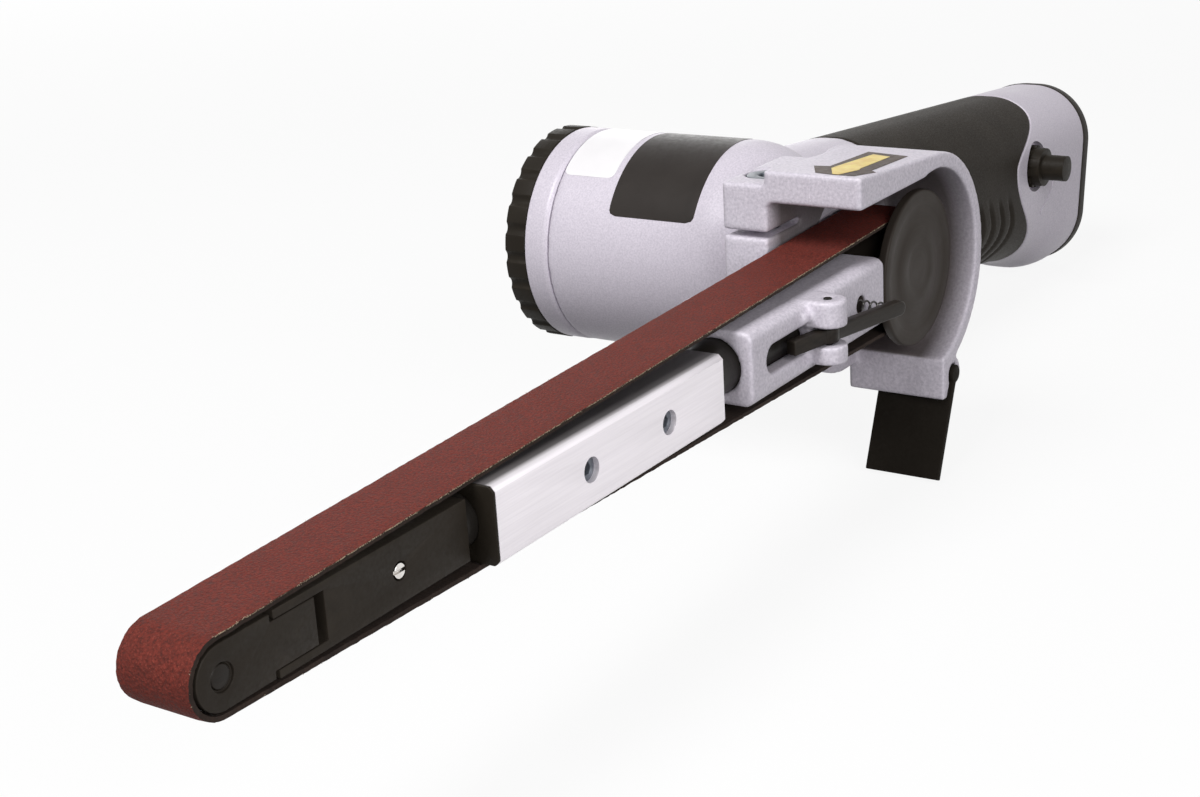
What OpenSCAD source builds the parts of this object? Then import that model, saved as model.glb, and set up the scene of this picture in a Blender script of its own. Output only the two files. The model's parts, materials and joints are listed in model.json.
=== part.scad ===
// Air powered belt file: a transverse vane motor with a rear handle, and a slim belt arm on the motor's nose.
// Frame while modelling: the drive shaft is the Y axis, the belt arm runs along +X, +Z is up.
// The last step stands the whole tool on its lowest point, centred over the origin.

/* [Belt] */
// Width of the abrasive belt
belt_w = 12.7; // [10:0.1:14]
// Length of the belt round its middle line
belt_len = 457; // [440:1:480]
// Thickness of the belt
belt_t = 0.9; // [0.6:0.1:1.2]
// Room between the belt and each pulley
belt_gap = 0.3; // [0.2:0.05:0.5]

/* [Pulleys] */
// Radius of the drive pulley under the belt
drive_r = 10.9; // [9.5:0.1:12]
// Radius of the drive pulley's near flange
flange_r = 16.2; // [14:0.1:17.5]
// Thickness of the drive pulley's near flange
flange_t = 1.9; // [1.2:0.1:2.5]
// Radius of the nose pulley
idler_r = 4.7; // [4.5:0.1:5.4]
// Width of the nose pulley
idler_w = 8.4; // [7:0.1:9.5]
// Radius of the nose pulley's axle
axle_r = 1.75; // [1.4:0.05:2]

/* [Motor] */
// Outer radius of the motor barrel
barrel_r = 23.7; // [22.5:0.1:26]
// Distance from the belt's middle plane back to the barrel's end
barrel_back = 73.5; // [70:0.5:80]
// Radius of the motor nose that the guard clamps on
nose_r = 16; // [15:0.1:17]
// Bore of the barrel
barrel_bore_r = 20; // [19:0.1:20.5]
// Radius of the rotor
rotor_r = 13; // [11.5:0.1:13.2]
// Radius of the drive shaft
shaft_r = 4; // [3.5:0.1:4.5]
// Outer radius of the scalloped ring at the motor's back
ring_r = 24; // [23.8:0.1:26]
// Width of the scalloped ring
ring_w = 5.2; // [4.5:0.1:8]

/* [Handle] */
// Angle by which the handle droops below the belt arm
droop = 8; // [0:0.5:15]
// Place of the handle's middle plane behind the belt's middle plane
handle_back = 36; // [34:0.5:40]
// Distance along the handle from the drive shaft to its end face
handle_len = 172.5; // [165:0.5:185]
// Height of the neck's top above the handle's axis
neck_top = 19; // [17:0.5:21]
// Depth of the neck's underside below the handle's axis
neck_low = 19; // [17:0.5:21]
// Width of the handle at its neck
neck_w = 33; // [32:0.5:36]
// Height of the handle's top above its axis behind the grip
waist_top = 26.4; // [24:0.2:28]
// Depth of the handle's underside below its axis behind the grip
waist_low = 18.9; // [18:0.1:21]
// Width of the handle behind the grip
waist_w = 34; // [33:0.5:37]
// Depth of the heel below the handle's axis, ahead of the end face
heel_low = 24; // [22:0.2:26]
// Height of the end face's top above the handle's axis
tail_top = 28.2; // [26:0.2:31]
// Depth of the end face's lower edge below the handle's axis
tail_low = 22.2; // [21:0.2:26]
// Width of the handle's end face
tail_w = 34.2; // [33:0.2:38]
// Thickness of the rubber grip
grip_t = 2.5; // [1.5:0.1:3]
// Wall radius of the threaded air inlet
inlet_r = 5.6; // [5:0.1:6.2]
// Travel of the trigger
trigger_travel = 4.5; // [3:0.1:5]

/* [Guard] */
// Outer radius of the guard's rim
rim_r = 24; // [23:0.1:26]
// Wall of the guard's rim
rim_wall = 3.2; // [2.4:0.1:4]
// Distance from the belt's middle plane to the guard's open edge
guard_near = 12.8; // [11.5:0.1:15]
// Reach of the roof ahead of the drive shaft
roof_reach = 34; // [31:0.5:38]
// Slope of the roof towards its front edge
roof_rise = 4.3; // [0:0.1:6]
// Height of the roof's underside above the drive shaft
roof_under = 20.2; // [19.5:0.1:20.6]

/* [Belt arm] */
// Reach of the arm socket ahead of the drive shaft
socket_reach = 71.7; // [69:0.1:75]
// Height of the arm socket
socket_h = 14; // [12.8:0.1:14.4]
// Distance from the belt's middle plane to the socket's near face
socket_near = 9.8; // [9.4:0.1:10.4]
// Place of the slide rod's axis in front of the belt's middle plane
rod_near = 2; // [1.6:0.1:2.4]
// Radius of the slide rod inside the socket
rod_r = 5.2; // [4.9:0.05:5.4]
// Travel of the slide rod when the belt is slackened
slide_travel = 9; // [6:0.1:9.4]
// Length of the platen bar
bar_len = 66.5; // [62:0.5:67]
// Height of the platen bar
bar_h = 12.6; // [11.6:0.1:12.6]
// Length of the nose arm behind the pivoting nose
nose_arm_len = 41; // [39:0.5:41.5]
// Width of the nose arm and of the pivoting nose
nose_w = 13; // [12.6:0.1:13.4]
// Height of the nose arm
nose_arm_h = 9.8; // [9.2:0.1:9.9]
// Lean of the rubber flap at rest
flap_lean = 23; // [10:1:24]
// Length of the rubber flap below its bead
flap_len = 23; // [16:0.5:23.5]

/* [Hidden] */
$fn = 64;
// A hull's own children use fewer sides
hull_fn = 32;
// Overrun of every cut
cut = 0.5;
// Radial room of a running fit
run_gap = 0.05;
// Radial room of a seated fit
seat_gap = 0.02;
// Room between bodies that pass each other
pass_gap = 0.3;

// Belt loop
drive_in_r = drive_r + belt_gap;
idler_in_r = idler_r + belt_gap;
idler_out_r = idler_in_r + belt_t;
loop_step = drive_r - idler_r;
loop_straight = belt_len - PI * (drive_in_r + idler_in_r + belt_t);
nose_x = (loop_straight + sqrt(pow(loop_straight, 2) - 8 * pow(loop_step, 2))) / 4;
loop_tilt = asin(loop_step / nose_x);
belt_half = belt_w / 2;

// Drive pulley, as distances along the shaft from the belt's middle plane
pulley_side = 0.6;
pulley_far_y = -belt_half - pulley_side;
flange_far_y = belt_half + pulley_side + pass_gap;
flange_near_y = flange_far_y + flange_t;
dish_in_r = 7.4;
dish_lip = 2.6;
dish_d = 0.5;
pulley_web = 5;
shaft_end_y = flange_near_y - pulley_web;

// Guard, as distances along the shaft
wall_t = 3;
belt_room = 1.05;
wall_near_y = -belt_half - belt_room;
wall_far_y = wall_near_y - wall_t;
collar_len = 6.8;
collar_far_y = wall_far_y - collar_len;
collar_wall = 4;
collar_r = nose_r + collar_wall;
rim_in_r = rim_r - rim_wall;
roof_front_z = rim_r / cos(roof_rise) + roof_reach * tan(roof_rise);
ear_drop = 2.9;
ear_top_z = roof_front_z - ear_drop;
slit_z = 12.9;
slit_h = 1.3;
ear_low_z = 4;
ear_back_x = 9;
roof_fillet = 1.8;
clamp_x = 24.5;
clamp_set = 4.9;
clamp_y = wall_near_y - clamp_set;
clamp_screw_r = 2;
clamp_head_r = 4;
clamp_head_h = 3.4;
clamp_seat_r = clamp_head_r + pass_gap;
clamp_seat_d = clamp_head_h + pass_gap;
clamp_hex_r = 1.8;
clamp_hex_d = 2.2;
wall_reach = 62;
wall_reach_h = 16;
foot_front_x = -4;
foot_low = 5.8;
foot_high = 1.2;
foot_far_set = 1.1;
foot_low_z = -rim_r - foot_low;
foot_high_z = -rim_r + foot_high;
bead_r = 1.9;
bead_hole_r = bead_r + pass_gap;
bead_set = 5.1;
bead_rise = 4.6;
bead_x = foot_front_x - bead_set;
bead_z = foot_low_z + bead_rise;
hook_wall = 1.4;
hook_r = bead_hole_r + hook_wall;
hook_drop = 1.4;
flap_t = 1.4;
flap_far_set = 3.9;
flap_near_over = 0.6;
flap_far_y = wall_near_y + flap_far_set;
flap_near_y = guard_near + flap_near_over;
flap_fore = 3;
flap_aft = 34;
mouth_half = flap_t / 2 + pass_gap;

// Arm socket and slide
socket_back_x = 18;
socket_end_wall = 3;
socket_round = 2;
socket_h2 = socket_h / 2;
rod_bore_r = rod_r + run_gap;
spring_seat_x = socket_back_x + socket_end_wall;
tension_len = 21;
rod_back_x = spring_seat_x + tension_len;
bar_room = 1;
bar_back_x = socket_reach + slide_travel + bar_room;
bar_front_x = bar_back_x + bar_len;
rod_step_x = bar_back_x - pass_gap;
rod_slim_r = 4.5;
bar_half_w = socket_near - rod_near;
bar_bevel = 0.8;
bar_cap_t = 0.5;
bar_cap_x = bar_front_x - bar_cap_t;
nose_gap = 2.4;
nose_back_x = bar_front_x + nose_gap;
nose_arm_x = nose_back_x + nose_arm_len;
spigot_r = 3;
spigot_len = 9;
slot_front_x = 66;
slot_run = 16.5;
slot_back_x = slot_front_x - slot_run;
slot_h = 5.5;
key_r = 1.6;
key_stand = 0.4;
key_x = slot_front_x - key_r - pass_gap;
grub_r = 2.1;
grub_len = 2.3;
grub_hex_r = 1.15;
bar_screw_shares = [0.27, 0.62];

// Latch lever on the socket's near face
latch_x = 46.8;
latch_stand = 2.3;
latch_y = socket_near + latch_stand;
latch_tilt = 13;
latch_fore = 10.6;
latch_aft = 20.4;
latch_h = 2.8;
latch_t = 2.2;
latch_boss_r = 2;
latch_pin_r = 0.8;
lug_r = 3.56;
lug_gap = 0.4;
lug_low_z = latch_h / 2 + lug_gap;
lug_under = 3.4;
lug_end_z = lug_low_z + lug_under;
pad_len = 6;
pad_h = 1.6;
pad_stand = 0.9;
latch_hole_x = 28;
latch_hole_r = 1.9;
latch_hole_d = 2.8;
latch_coil_r = 1.25;
latch_wire_r = 0.25;
latch_turns = 7;
latch_inner_y = latch_y + (latch_x - latch_hole_x) * tan(latch_tilt) - latch_t / 2 / cos(latch_tilt);
latch_spring_y = socket_near - latch_hole_d + run_gap;
latch_spring_len = latch_inner_y - latch_spring_y - pass_gap;

// Tension spring
tension_coil_r = 3.6;
tension_wire_r = 0.5;
tension_turns = 8;

// Pivoting nose
nose_half = nose_w / 2;
fork_t = 2;
tongue_h = 7;
tongue_len = 8.5;
shoulder_gap = 0.7;
tongue_gap = 1.9;
prong_gap = 0.15;
yoke_x = nose_arm_x + shoulder_gap;
yoke_drop = 0.2;
yoke_h = 2 * idler_r - yoke_drop;
tongue_back_x = yoke_x - tongue_len;
pocket_wall = 1;
pocket_back_x = nose_back_x + spigot_len + pocket_wall;
pivot_set = 4.5;
pivot_x = nose_arm_x - pivot_set;
pivot_r = 1;
tail_room = 1;
tail_back_x = pocket_back_x + tail_room;
tail_t = 3.2;
tail_z = 3;
pocket_half_y = 4.2;
pocket_z = tail_z + 2 * pass_gap;
yoke_web_x = nose_x - idler_r - pass_gap;
axle_sink = 0.3;
axle_dish_r = 2.05;
axle_dish_d = 0.5;
bush_r = 2.7;
bush_flange = 0.15;
track_set = 4.7;
track_room = 0.9;
track_x = tail_back_x + track_set;
track_r = 0.9;
track_head_r = 1.15;
track_head_h = 1;
track_slot = 0.5;
track_coil_r = 1;
track_wire_r = 0.2;
track_turns = 2;

// Motor, as distances along the shaft
nose_set = 1;
shoulder_room = 1.6;
nose_face_y = wall_near_y - nose_set;
shoulder_y = collar_far_y - shoulder_room;
shoulder_r = 19.5;
taper_len = 8;
barrel_y = -barrel_back;
groove_set = 5.6;
groove_y = barrel_y + groove_set;
groove_w = 0.8;
groove_d = 0.5;
spigot_wall = 1.6;
spigot_out_r = barrel_bore_r + spigot_wall;
ring_lip = 1.2;
spigot_back_y = barrel_y - ring_w + ring_lip;
ring_far_y = barrel_y - ring_w;
scallops = 24;
scallop_r = 1.7;
scallop_bite = 0.65;
bearing_r = 11;
bearing_w = 7;
bearing_groove = 0.6;
nose_lip = 2;
nose_lip_r = 9;
front_bearing_y = nose_face_y - nose_lip;
front_plate_near_y = shoulder_y - taper_len;
front_plate_t = 6;
liner_near_y = front_plate_near_y - front_plate_t;
rear_plate_t = bearing_w;
cover_set = 2.5;
rear_plate_far_y = barrel_y + cover_set;
liner_far_y = rear_plate_far_y + rear_plate_t;
liner_room = 2.6;
liner_bore_r = rotor_r + liner_room;
liner_offset = 2.2;
port_r = 2.6;
vanes = 5;
vane_t = 2;
vane_d = 5.6;
vane_slot_d = 6;
vane_gap = 0.1;
cover_dish_r = 6;
cover_dish_d = 3;
pin_hole_r = 1.6;
pin_hole_pitch = 13;

// Handle, as distances along its axis from the drive shaft
neck_u = 16;
flare_len = 30.5;
waist_u = handle_len - flare_len;
heel_set = 12;
heel_u = handle_len - heel_set;
heel_top = tail_top + (waist_top - tail_top) * heel_set / flare_len;
heel_w = tail_w + (waist_w - tail_w) * heel_set / flare_len;
corner_r = 15.5;
slab_t = 0.5;
grip_front_u = 47;
front_bow = 19;
front_bow_h = 33;
front_mid_w = 14;
wave_set = 17.4;
wave_u = waist_u - wave_set;
wave_depth = 17.2;
wave_mid_w = 8.6;
wave_rise = 14.5;
wave_fall = 27.5;
wave_steps = 40;
wave_reach = 32;
ridge_r = 1.3;
ridge_pitch = 6.5;
ridges = 4;
ridge_set = 4;
ridge_u = wave_u - ridge_set;
passage_w = 8.5;
passage_r = 5;
exhaust_v = 9;
exhaust_w = -3;
exhaust_r = 3;
cap_t = 4;
cap_proud = 0.2;
cap_u = handle_len;
bush_back = 12;
bush_out_r = 8.4;
bush_stand = 6;
bush_hex_r = 10.2;
inlet_depth = 16;
bush_throat_r = 4.6;
cap_screw_v = 9.5;
cap_screw_w = -16;
cap_screw_r = 1.5;
cap_head_r = 2.9;
cap_head_h = 1.7;
cap_screw_len = 9;

// Trigger and throttle valve
trigger_u = 55;
trigger_len = 14;
trigger_w = 10;
trigger_top_w = -9;
trigger_low_w = -27;
trigger_room_w = trigger_top_w + trigger_travel + pass_gap;
trigger_scoop_r = 13;
trigger_scoop_d = 1.6;
trigger_round = 1.5;
cup_r = 3.4;
cup_d = 8;
stem_r = 1.2;
valve_r = 2.6;
valve_t = 1.6;
valve_rise = 1;
valve_seat_w = passage_w - passage_r + valve_rise;
valve_coil_r = 2.4;
valve_wire_r = 0.3;
valve_turns = 7;

// Air regulator on the handle's near side
knob_set = 35;
knob_u = handle_len - knob_set;
knob_half_w = (neck_w + (waist_w - neck_w) * (knob_u - neck_u) / (waist_u - neck_u)) / 2;
knob_recess_r = 6.8;
knob_recess_d = 2.6;
knob_r = 5.7;
knob_flange_t = 2.2;
knob_mid_r = 5.1;
knob_mid_len = 2.6;
knob_stub_r = 3.4;
knob_stub_len = 8.6;
knob_notches = 12;
knob_notch_r = 0.7;
regulator_r = 2.5;
regulator_end_v = 3.6;
knob_seat_v = knob_recess_d - knob_half_w;
knob_base_v = knob_seat_v - pass_gap;
knob_top_v = knob_base_v - knob_flange_t;

// Place of the whole tool: it stands on its lowest point, centred over the origin
tail_u = cap_u + cap_t;
inlet_u = tail_u + bush_stand;
tail_low_z = -tail_u * sin(droop) - (tail_low + cap_proud) * cos(droop);
heel_low_z = -heel_u * sin(droop) - heel_low * cos(droop);
back_x = -inlet_u * cos(droop) - (passage_w + bush_out_r) * sin(droop);
front_x = nose_x + idler_out_r;
far_y = ring_far_y;
near_y = latch_y + (latch_aft + latch_h / 2) * sin(latch_tilt) + latch_t / 2 * cos(latch_tilt);
stand = [-(front_x + back_x) / 2, -(near_y + far_y) / 2, -min(tail_low_z, heel_low_z)];

// Helpers: turn a shape whose length is along Z so that it lies along X or Y
module along_x() {
    rotate([0, 90, 0]) children();
}

module along_y() {
    rotate([-90, 0, 0]) children();
}

// A round bar along Y between two distances from the belt's middle plane
module bar_y(r, y0, y1) {
    translate([0, y0, 0]) along_y() cylinder(r = r, h = y1 - y0);
}

// A round bar along X between two places
module bar_x(r, x0, x1) {
    translate([x0, 0, 0]) along_x() cylinder(r = r, h = x1 - x0);
}

// A ring round the Y axis
module ring_y(r_out, r_in, y0, y1) {
    difference() {
        bar_y(r_out, y0, y1);
        bar_y(r_in, y0 - cut, y1 + cut);
    }
}

// A box between two corners
module block(low, high) {
    translate(low) cube(high - low);
}

// A side view outline, drawn in X and Z, with its thickness along Y
module side_plate(y0, y1) {
    translate([0, y1, 0]) rotate([90, 0, 0]) linear_extrude(height = y1 - y0) children();
}

// A rectangle with round corners, about its centre
module rounded(w, h, r) {
    square([w - 2 * r, h], center = true);
    square([w, h - 2 * r], center = true);
    for (sx = [-1, 1], sy = [-1, 1])
        translate([sx * (w / 2 - r), sy * (h / 2 - r)]) circle(r = r);
}

// Places on the handle: its own X runs back along the handle, its own Z is up, its own -Y is the near side
module on_handle() {
    translate([0, -handle_back, 0]) rotate([0, -droop, 0]) rotate([0, 0, 180]) children();
}

// Turns a shape along Z so that it lies along the handle, with its X axis up
module along_handle() {
    rotate([0, -90, 0]) mirror([0, 0, 1]) children();
}

// Middle line of a wound spring along Z
function coil_line(r, wire_r, len, turns) =
    let (steps = 8 * turns)
    [for (i = [0:steps]) [r * cos(45 * i), r * sin(45 * i), wire_r + (len - 2 * wire_r) * i / steps]];

// Tube round that line: six points for each ring
function coil_skin(r, wire_r, len, turns) =
    [for (p = coil_line(r, wire_r, len, turns), k = [0:5])
        let (out = (r + wire_r * cos(60 * k)) / r)
        [p[0] * out, p[1] * out, p[2] + wire_r * sin(60 * k)]];

function coil_sides(rings) =
    [for (i = [0:rings - 2], k = [0:5], half = [0, 1])
        let (a = 6 * i + k, b = 6 * i + (k + 1) % 6)
        half == 0 ? [a, b, a + 6] : [b, b + 6, a + 6]];

function coil_ends(rings) =
    concat(
        [for (k = [1:4]) [0, k + 1, k]],
        [for (k = [1:4]) let (e = 6 * (rings - 1)) [e, e + k, e + k + 1]]);

// Least gap of a spring to itself, measured between rings at least half a turn apart
function coil_gap(line, wire_r) =
    min([for (i = [0:len(line) - 6], j = [i + 5:len(line) - 1]) norm(line[i] - line[j])]) - 2 * wire_r;

module coil(r, wire_r, len, turns) {
    line = coil_line(r, wire_r, len, turns);
    echo(least_gap = coil_gap(line, wire_r));
    polyhedron(points = coil_skin(r, wire_r, len, turns),
        faces = concat(coil_sides(len(line)), coil_ends(len(line))));
}

// One round end of the belt, from an angle onward
module belt_bend(r, from, sweep) {
    along_y() rotate([0, 0, from]) rotate_extrude(angle = sweep)
        translate([r, -belt_half]) square([belt_t, belt_w]);
}

module abrasive_belt() {
    color([0.45, 0.2, 0.17]) union() {
        belt_bend(drive_in_r, 90 - loop_tilt, 180 + 2 * loop_tilt);
        translate([nose_x, 0, 0]) belt_bend(idler_in_r, loop_tilt - 90, 180 - 2 * loop_tilt);
        for (side = [0, 1]) mirror([0, 0, side]) rotate([0, loop_tilt, 0])
            block([0, -belt_half, drive_in_r], [nose_x * cos(loop_tilt), belt_half, drive_in_r + belt_t]);
    }
}

// Drive pulley with its wide near flange, blind bored for the shaft
module drive_pulley() {
    color([0.2, 0.19, 0.18]) difference() {
        union() {
            bar_y(drive_r, pulley_far_y, flange_far_y);
            bar_y(flange_r, flange_far_y, flange_near_y);
        }
        bar_y(shaft_r + seat_gap, pulley_far_y - cut, shaft_end_y);
        ring_y(flange_r - dish_lip, dish_in_r, flange_near_y - dish_d, flange_near_y + cut);
    }
}

// Rotor with its shaft and the slots for its vanes
module rotor() {
    color([0.62, 0.62, 0.64]) difference() {
        union() {
            bar_y(rotor_r, liner_far_y + pass_gap, liner_near_y - pass_gap);
            bar_y(shaft_r, rear_plate_far_y, shaft_end_y);
        }
        each_vane() block(
            [-vane_t / 2 - vane_gap, liner_far_y, rotor_r - vane_slot_d],
            [vane_t / 2 + vane_gap, liner_near_y, rotor_r + cut]);
    }
}

module each_vane() {
    for (i = [0:vanes - 1]) rotate([0, i * 360 / vanes, 0]) children();
}

module rotor_vanes() {
    color([0.55, 0.4, 0.25]) each_vane() block(
        [-vane_t / 2, liner_far_y + pass_gap, rotor_r - vane_slot_d + vane_gap],
        [vane_t / 2, liner_near_y - pass_gap, rotor_r - vane_slot_d + vane_gap + vane_d]);
}

module cylinder_liner() {
    color([0.7, 0.7, 0.72]) difference() {
        bar_y(barrel_bore_r - seat_gap, liner_far_y, liner_near_y);
        translate([0, 0, liner_offset]) bar_y(liner_bore_r, liner_far_y - cut, liner_near_y + cut);
        on_handle() bar_x(port_r, 0, barrel_r);
    }
}

module front_plate() {
    color([0.66, 0.66, 0.68])
        ring_y(barrel_bore_r - seat_gap, shaft_r + pass_gap, liner_near_y, front_plate_near_y);
}

module rear_plate() {
    color([0.66, 0.66, 0.68])
        ring_y(barrel_bore_r - seat_gap, bearing_r + seat_gap, rear_plate_far_y, liner_far_y);
}

// Ball bearing shown closed, with the gap between its rings as a groove on both faces
module bearing(near_y) {
    mid_r = (bearing_r + shaft_r) / 2;
    difference() {
        ring_y(bearing_r, shaft_r + run_gap, near_y - bearing_w, near_y);
        for (face = [near_y, near_y - bearing_w])
            ring_y(mid_r + bearing_groove, mid_r - bearing_groove,
                face - bearing_groove, face + bearing_groove);
    }
}

module front_bearing() {
    color([0.78, 0.78, 0.8]) bearing(front_bearing_y);
}

module rear_bearing() {
    color([0.78, 0.78, 0.8]) bearing(liner_far_y);
}

module rear_cover() {
    color([0.6, 0.6, 0.64]) difference() {
        bar_y(barrel_bore_r - seat_gap, spigot_back_y, rear_plate_far_y);
        bar_y(cover_dish_r, rear_plate_far_y - cover_dish_d, rear_plate_far_y + cut);
        for (side = [-1, 1])
            translate([side * pin_hole_pitch, 0, 0])
                bar_y(pin_hole_r, spigot_back_y - cut, spigot_back_y + cover_dish_d);
    }
}

// Scalloped ring that closes the motor's back
module rear_ring() {
    color([0.12, 0.11, 0.1]) difference() {
        bar_y(ring_r, ring_far_y, barrel_y);
        bar_y(spigot_out_r + seat_gap, spigot_back_y, barrel_y + cut);
        bar_y(pin_hole_pitch + 2 * pin_hole_r, ring_far_y - cut, spigot_back_y + cut);
        for (i = [0:scallops - 1])
            rotate([0, i * 360 / scallops, 0])
                translate([ring_r + scallop_r - scallop_bite, 0, 0])
                    bar_y(scallop_r, ring_far_y - cut, barrel_y + cut);
    }
}

// Outline across the handle, with its height above and below the handle's axis
module handle_outline(top, low, w, r) {
    translate([(top - low) / 2, 0]) rounded(top + low, w, r);
}

// A thin slice across the handle
module slice(u, top, low, w, r) {
    translate([u, 0, 0]) along_handle() linear_extrude(height = slab_t)
        handle_outline(top, low, w, r, $fn = hull_fn);
}

// Main run of the handle from the neck to behind the grip, drawn in by a margin
module handle_run(margin) {
    hull() {
        slice(neck_u, neck_top - margin, neck_low - margin, neck_w - 2 * margin, corner_r - margin);
        slice(waist_u, waist_top - margin, waist_low - margin, waist_w - 2 * margin, corner_r - margin);
    }
}

module handle_flare() {
    hull() {
        slice(waist_u, waist_top, waist_low, waist_w, corner_r);
        slice(heel_u, heel_top, heel_low, heel_w, corner_r);
        slice(cap_u - slab_t, tail_top, tail_low, tail_w, corner_r);
    }
}

// Edges of the grip as places along the handle: its front is bowed, its rear is waved round the air regulator
function grip_front(w) = grip_front_u + front_bow * pow((w - front_mid_w) / front_bow_h, 2);
function wave_share(w) = min(1, w > wave_mid_w ? (w - wave_mid_w) / wave_rise : (wave_mid_w - w) / wave_fall);
function grip_rear(w) = wave_u + wave_depth * (1 - cos(180 * wave_share(w))) / 2;

// Side outline of the grip between those edges
module grip_zone() {
    step = 2 * wave_reach / wave_steps;
    heights = [for (i = [0:wave_steps]) i * step - wave_reach];
    side_plate(-tail_w, tail_w) polygon(concat(
        [for (w = heights) [grip_rear(w), w]],
        [for (i = [0:wave_steps]) let (w = wave_reach - i * step) [grip_front(w), w]]));
}

// Hollows of the handle: air passage, two exhaust ways, trigger well, regulator seat and inlet seat
module handle_hollows() {
    translate([0, 0, passage_w]) {
        bar_x(passage_r, 0, cap_u + cut);
        bar_x(bush_out_r + seat_gap, cap_u - bush_back, cap_u + cut);
    }
    for (side = [-1, 1]) {
        translate([0, side * exhaust_v, exhaust_w]) bar_x(exhaust_r, 0, cap_u + cut);
        translate([0, side * cap_screw_v, cap_screw_w])
            bar_x(cap_screw_r + seat_gap, cap_u - cap_screw_len, cap_u + cut);
    }
    translate([trigger_u, 0, 0]) {
        block([-trigger_len / 2 - pass_gap, -trigger_w / 2 - pass_gap, -2 * tail_low],
            [trigger_len / 2 + pass_gap, trigger_w / 2 + pass_gap, trigger_room_w]);
        translate([0, 0, trigger_room_w - cut])
            cylinder(r = stem_r + run_gap, h = passage_w - trigger_room_w);
    }
    translate([knob_u, 0, passage_w]) {
        bar_y(knob_recess_r, -waist_w, knob_seat_v);
        bar_y(regulator_r + run_gap, knob_seat_v - cut, regulator_end_v + pass_gap);
    }
}

// Outer form of the motor barrel with its nose, let out by a margin
module barrel_form(margin) {
    bar_y(nose_r + margin, shoulder_y - cut, nose_face_y);
    translate([0, shoulder_y - taper_len, 0]) along_y()
        cylinder(r1 = barrel_r + margin, r2 = shoulder_r + margin, h = taper_len);
    bar_y(barrel_r + margin, barrel_y, shoulder_y - taper_len);
}

// Motor barrel with its nose, its rear spigot and its bores
module motor_housing() {
    color([0.76, 0.76, 0.8]) difference() {
        union() {
            barrel_form(0);
            bar_y(spigot_out_r, spigot_back_y, barrel_y);
        }
        ring_y(barrel_r + cut, barrel_r - groove_d, groove_y, groove_y + groove_w);
        bar_y(barrel_bore_r, spigot_back_y - cut, front_plate_near_y);
        bar_y(bearing_r + seat_gap, front_plate_near_y - cut, front_bearing_y);
        bar_y(nose_lip_r, front_bearing_y - cut, nose_face_y + cut);
        on_handle() handle_hollows();
    }
}

// Handle casing, drawn in under the grip and shaped to the barrel at its root
module handle_casing() {
    color([0.76, 0.76, 0.8]) difference() {
        on_handle() difference() {
            union() {
                difference() {
                    handle_run(0);
                    grip_zone();
                }
                handle_run(grip_t);
                handle_flare();
            }
            handle_hollows();
        }
        barrel_form(seat_gap);
    }
}

// Rubber sleeve flush with the casting, with ridges for the fingers underneath
module handle_grip() {
    color([0.14, 0.13, 0.12]) on_handle() difference() {
        intersection() {
            handle_run(0);
            grip_zone();
        }
        handle_run(grip_t - seat_gap);
        for (i = [0:ridges - 1])
            translate([ridge_u - i * ridge_pitch, 0, ridge_r / 2 - waist_low])
                bar_y(ridge_r, -tail_w, tail_w);
    }
}

module end_cap() {
    color([0.1, 0.1, 0.1]) on_handle() difference() {
        translate([cap_u, 0, 0]) along_handle() linear_extrude(height = cap_t)
            handle_outline(tail_top + cap_proud, tail_low + cap_proud,
                tail_w + 2 * cap_proud, corner_r + cap_proud);
        translate([0, 0, passage_w]) bar_x(bush_out_r + seat_gap, cap_u - cut, tail_u + cut);
        for (side = [-1, 1]) {
            translate([0, side * exhaust_v, exhaust_w]) bar_x(exhaust_r, cap_u - cut, tail_u + cut);
            translate([0, side * cap_screw_v, cap_screw_w]) {
                bar_x(cap_screw_r + seat_gap, cap_u - cut, tail_u + cut);
                bar_x(cap_head_r + seat_gap, tail_u - cap_head_h, tail_u + cut);
            }
        }
    }
}

module end_cap_screws() {
    color([0.7, 0.7, 0.72]) on_handle() for (side = [-1, 1])
        translate([0, side * cap_screw_v, cap_screw_w]) difference() {
            union() {
                bar_x(cap_screw_r, cap_u - cap_screw_len, tail_u - cap_head_h);
                bar_x(cap_head_r, tail_u - cap_head_h, tail_u);
            }
            translate([tail_u - cap_head_h / 2, 0, 0]) along_x()
                cylinder(r = cap_screw_r, h = cap_head_h, $fn = 6);
        }
}

// Air inlet with its female thread and a hexagon for a spanner
module inlet_bush() {
    color([0.72, 0.72, 0.74]) on_handle() translate([0, 0, passage_w]) difference() {
        union() {
            bar_x(bush_out_r, cap_u - bush_back, inlet_u);
            translate([tail_u, 0, 0]) along_x() cylinder(r = bush_hex_r, h = bush_stand / 2, $fn = 6);
        }
        bar_x(inlet_r, inlet_u - inlet_depth, inlet_u + cut);
        bar_x(bush_throat_r, cap_u - bush_back - cut, inlet_u);
    }
}

module trigger() {
    color([0.1, 0.1, 0.1]) on_handle() translate([trigger_u, 0, 0]) difference() {
        side_plate(-trigger_w / 2, trigger_w / 2) difference() {
            translate([0, (trigger_low_w + trigger_top_w) / 2])
                rounded(trigger_len, trigger_top_w - trigger_low_w, trigger_round);
            translate([0, trigger_low_w - trigger_scoop_r + trigger_scoop_d]) circle(r = trigger_scoop_r);
        }
        translate([0, 0, trigger_top_w - cup_d]) cylinder(r = cup_r, h = cup_d + cut);
    }
}

// Stem and disc that the trigger lifts off its seat in the air passage
module throttle_valve() {
    color([0.75, 0.65, 0.35]) on_handle() translate([trigger_u, 0, 0]) {
        translate([0, 0, trigger_top_w - cup_d])
            cylinder(r = stem_r, h = valve_seat_w - trigger_top_w + cup_d);
        translate([0, 0, valve_seat_w]) cylinder(r = valve_r, h = valve_t);
    }
}

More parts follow.
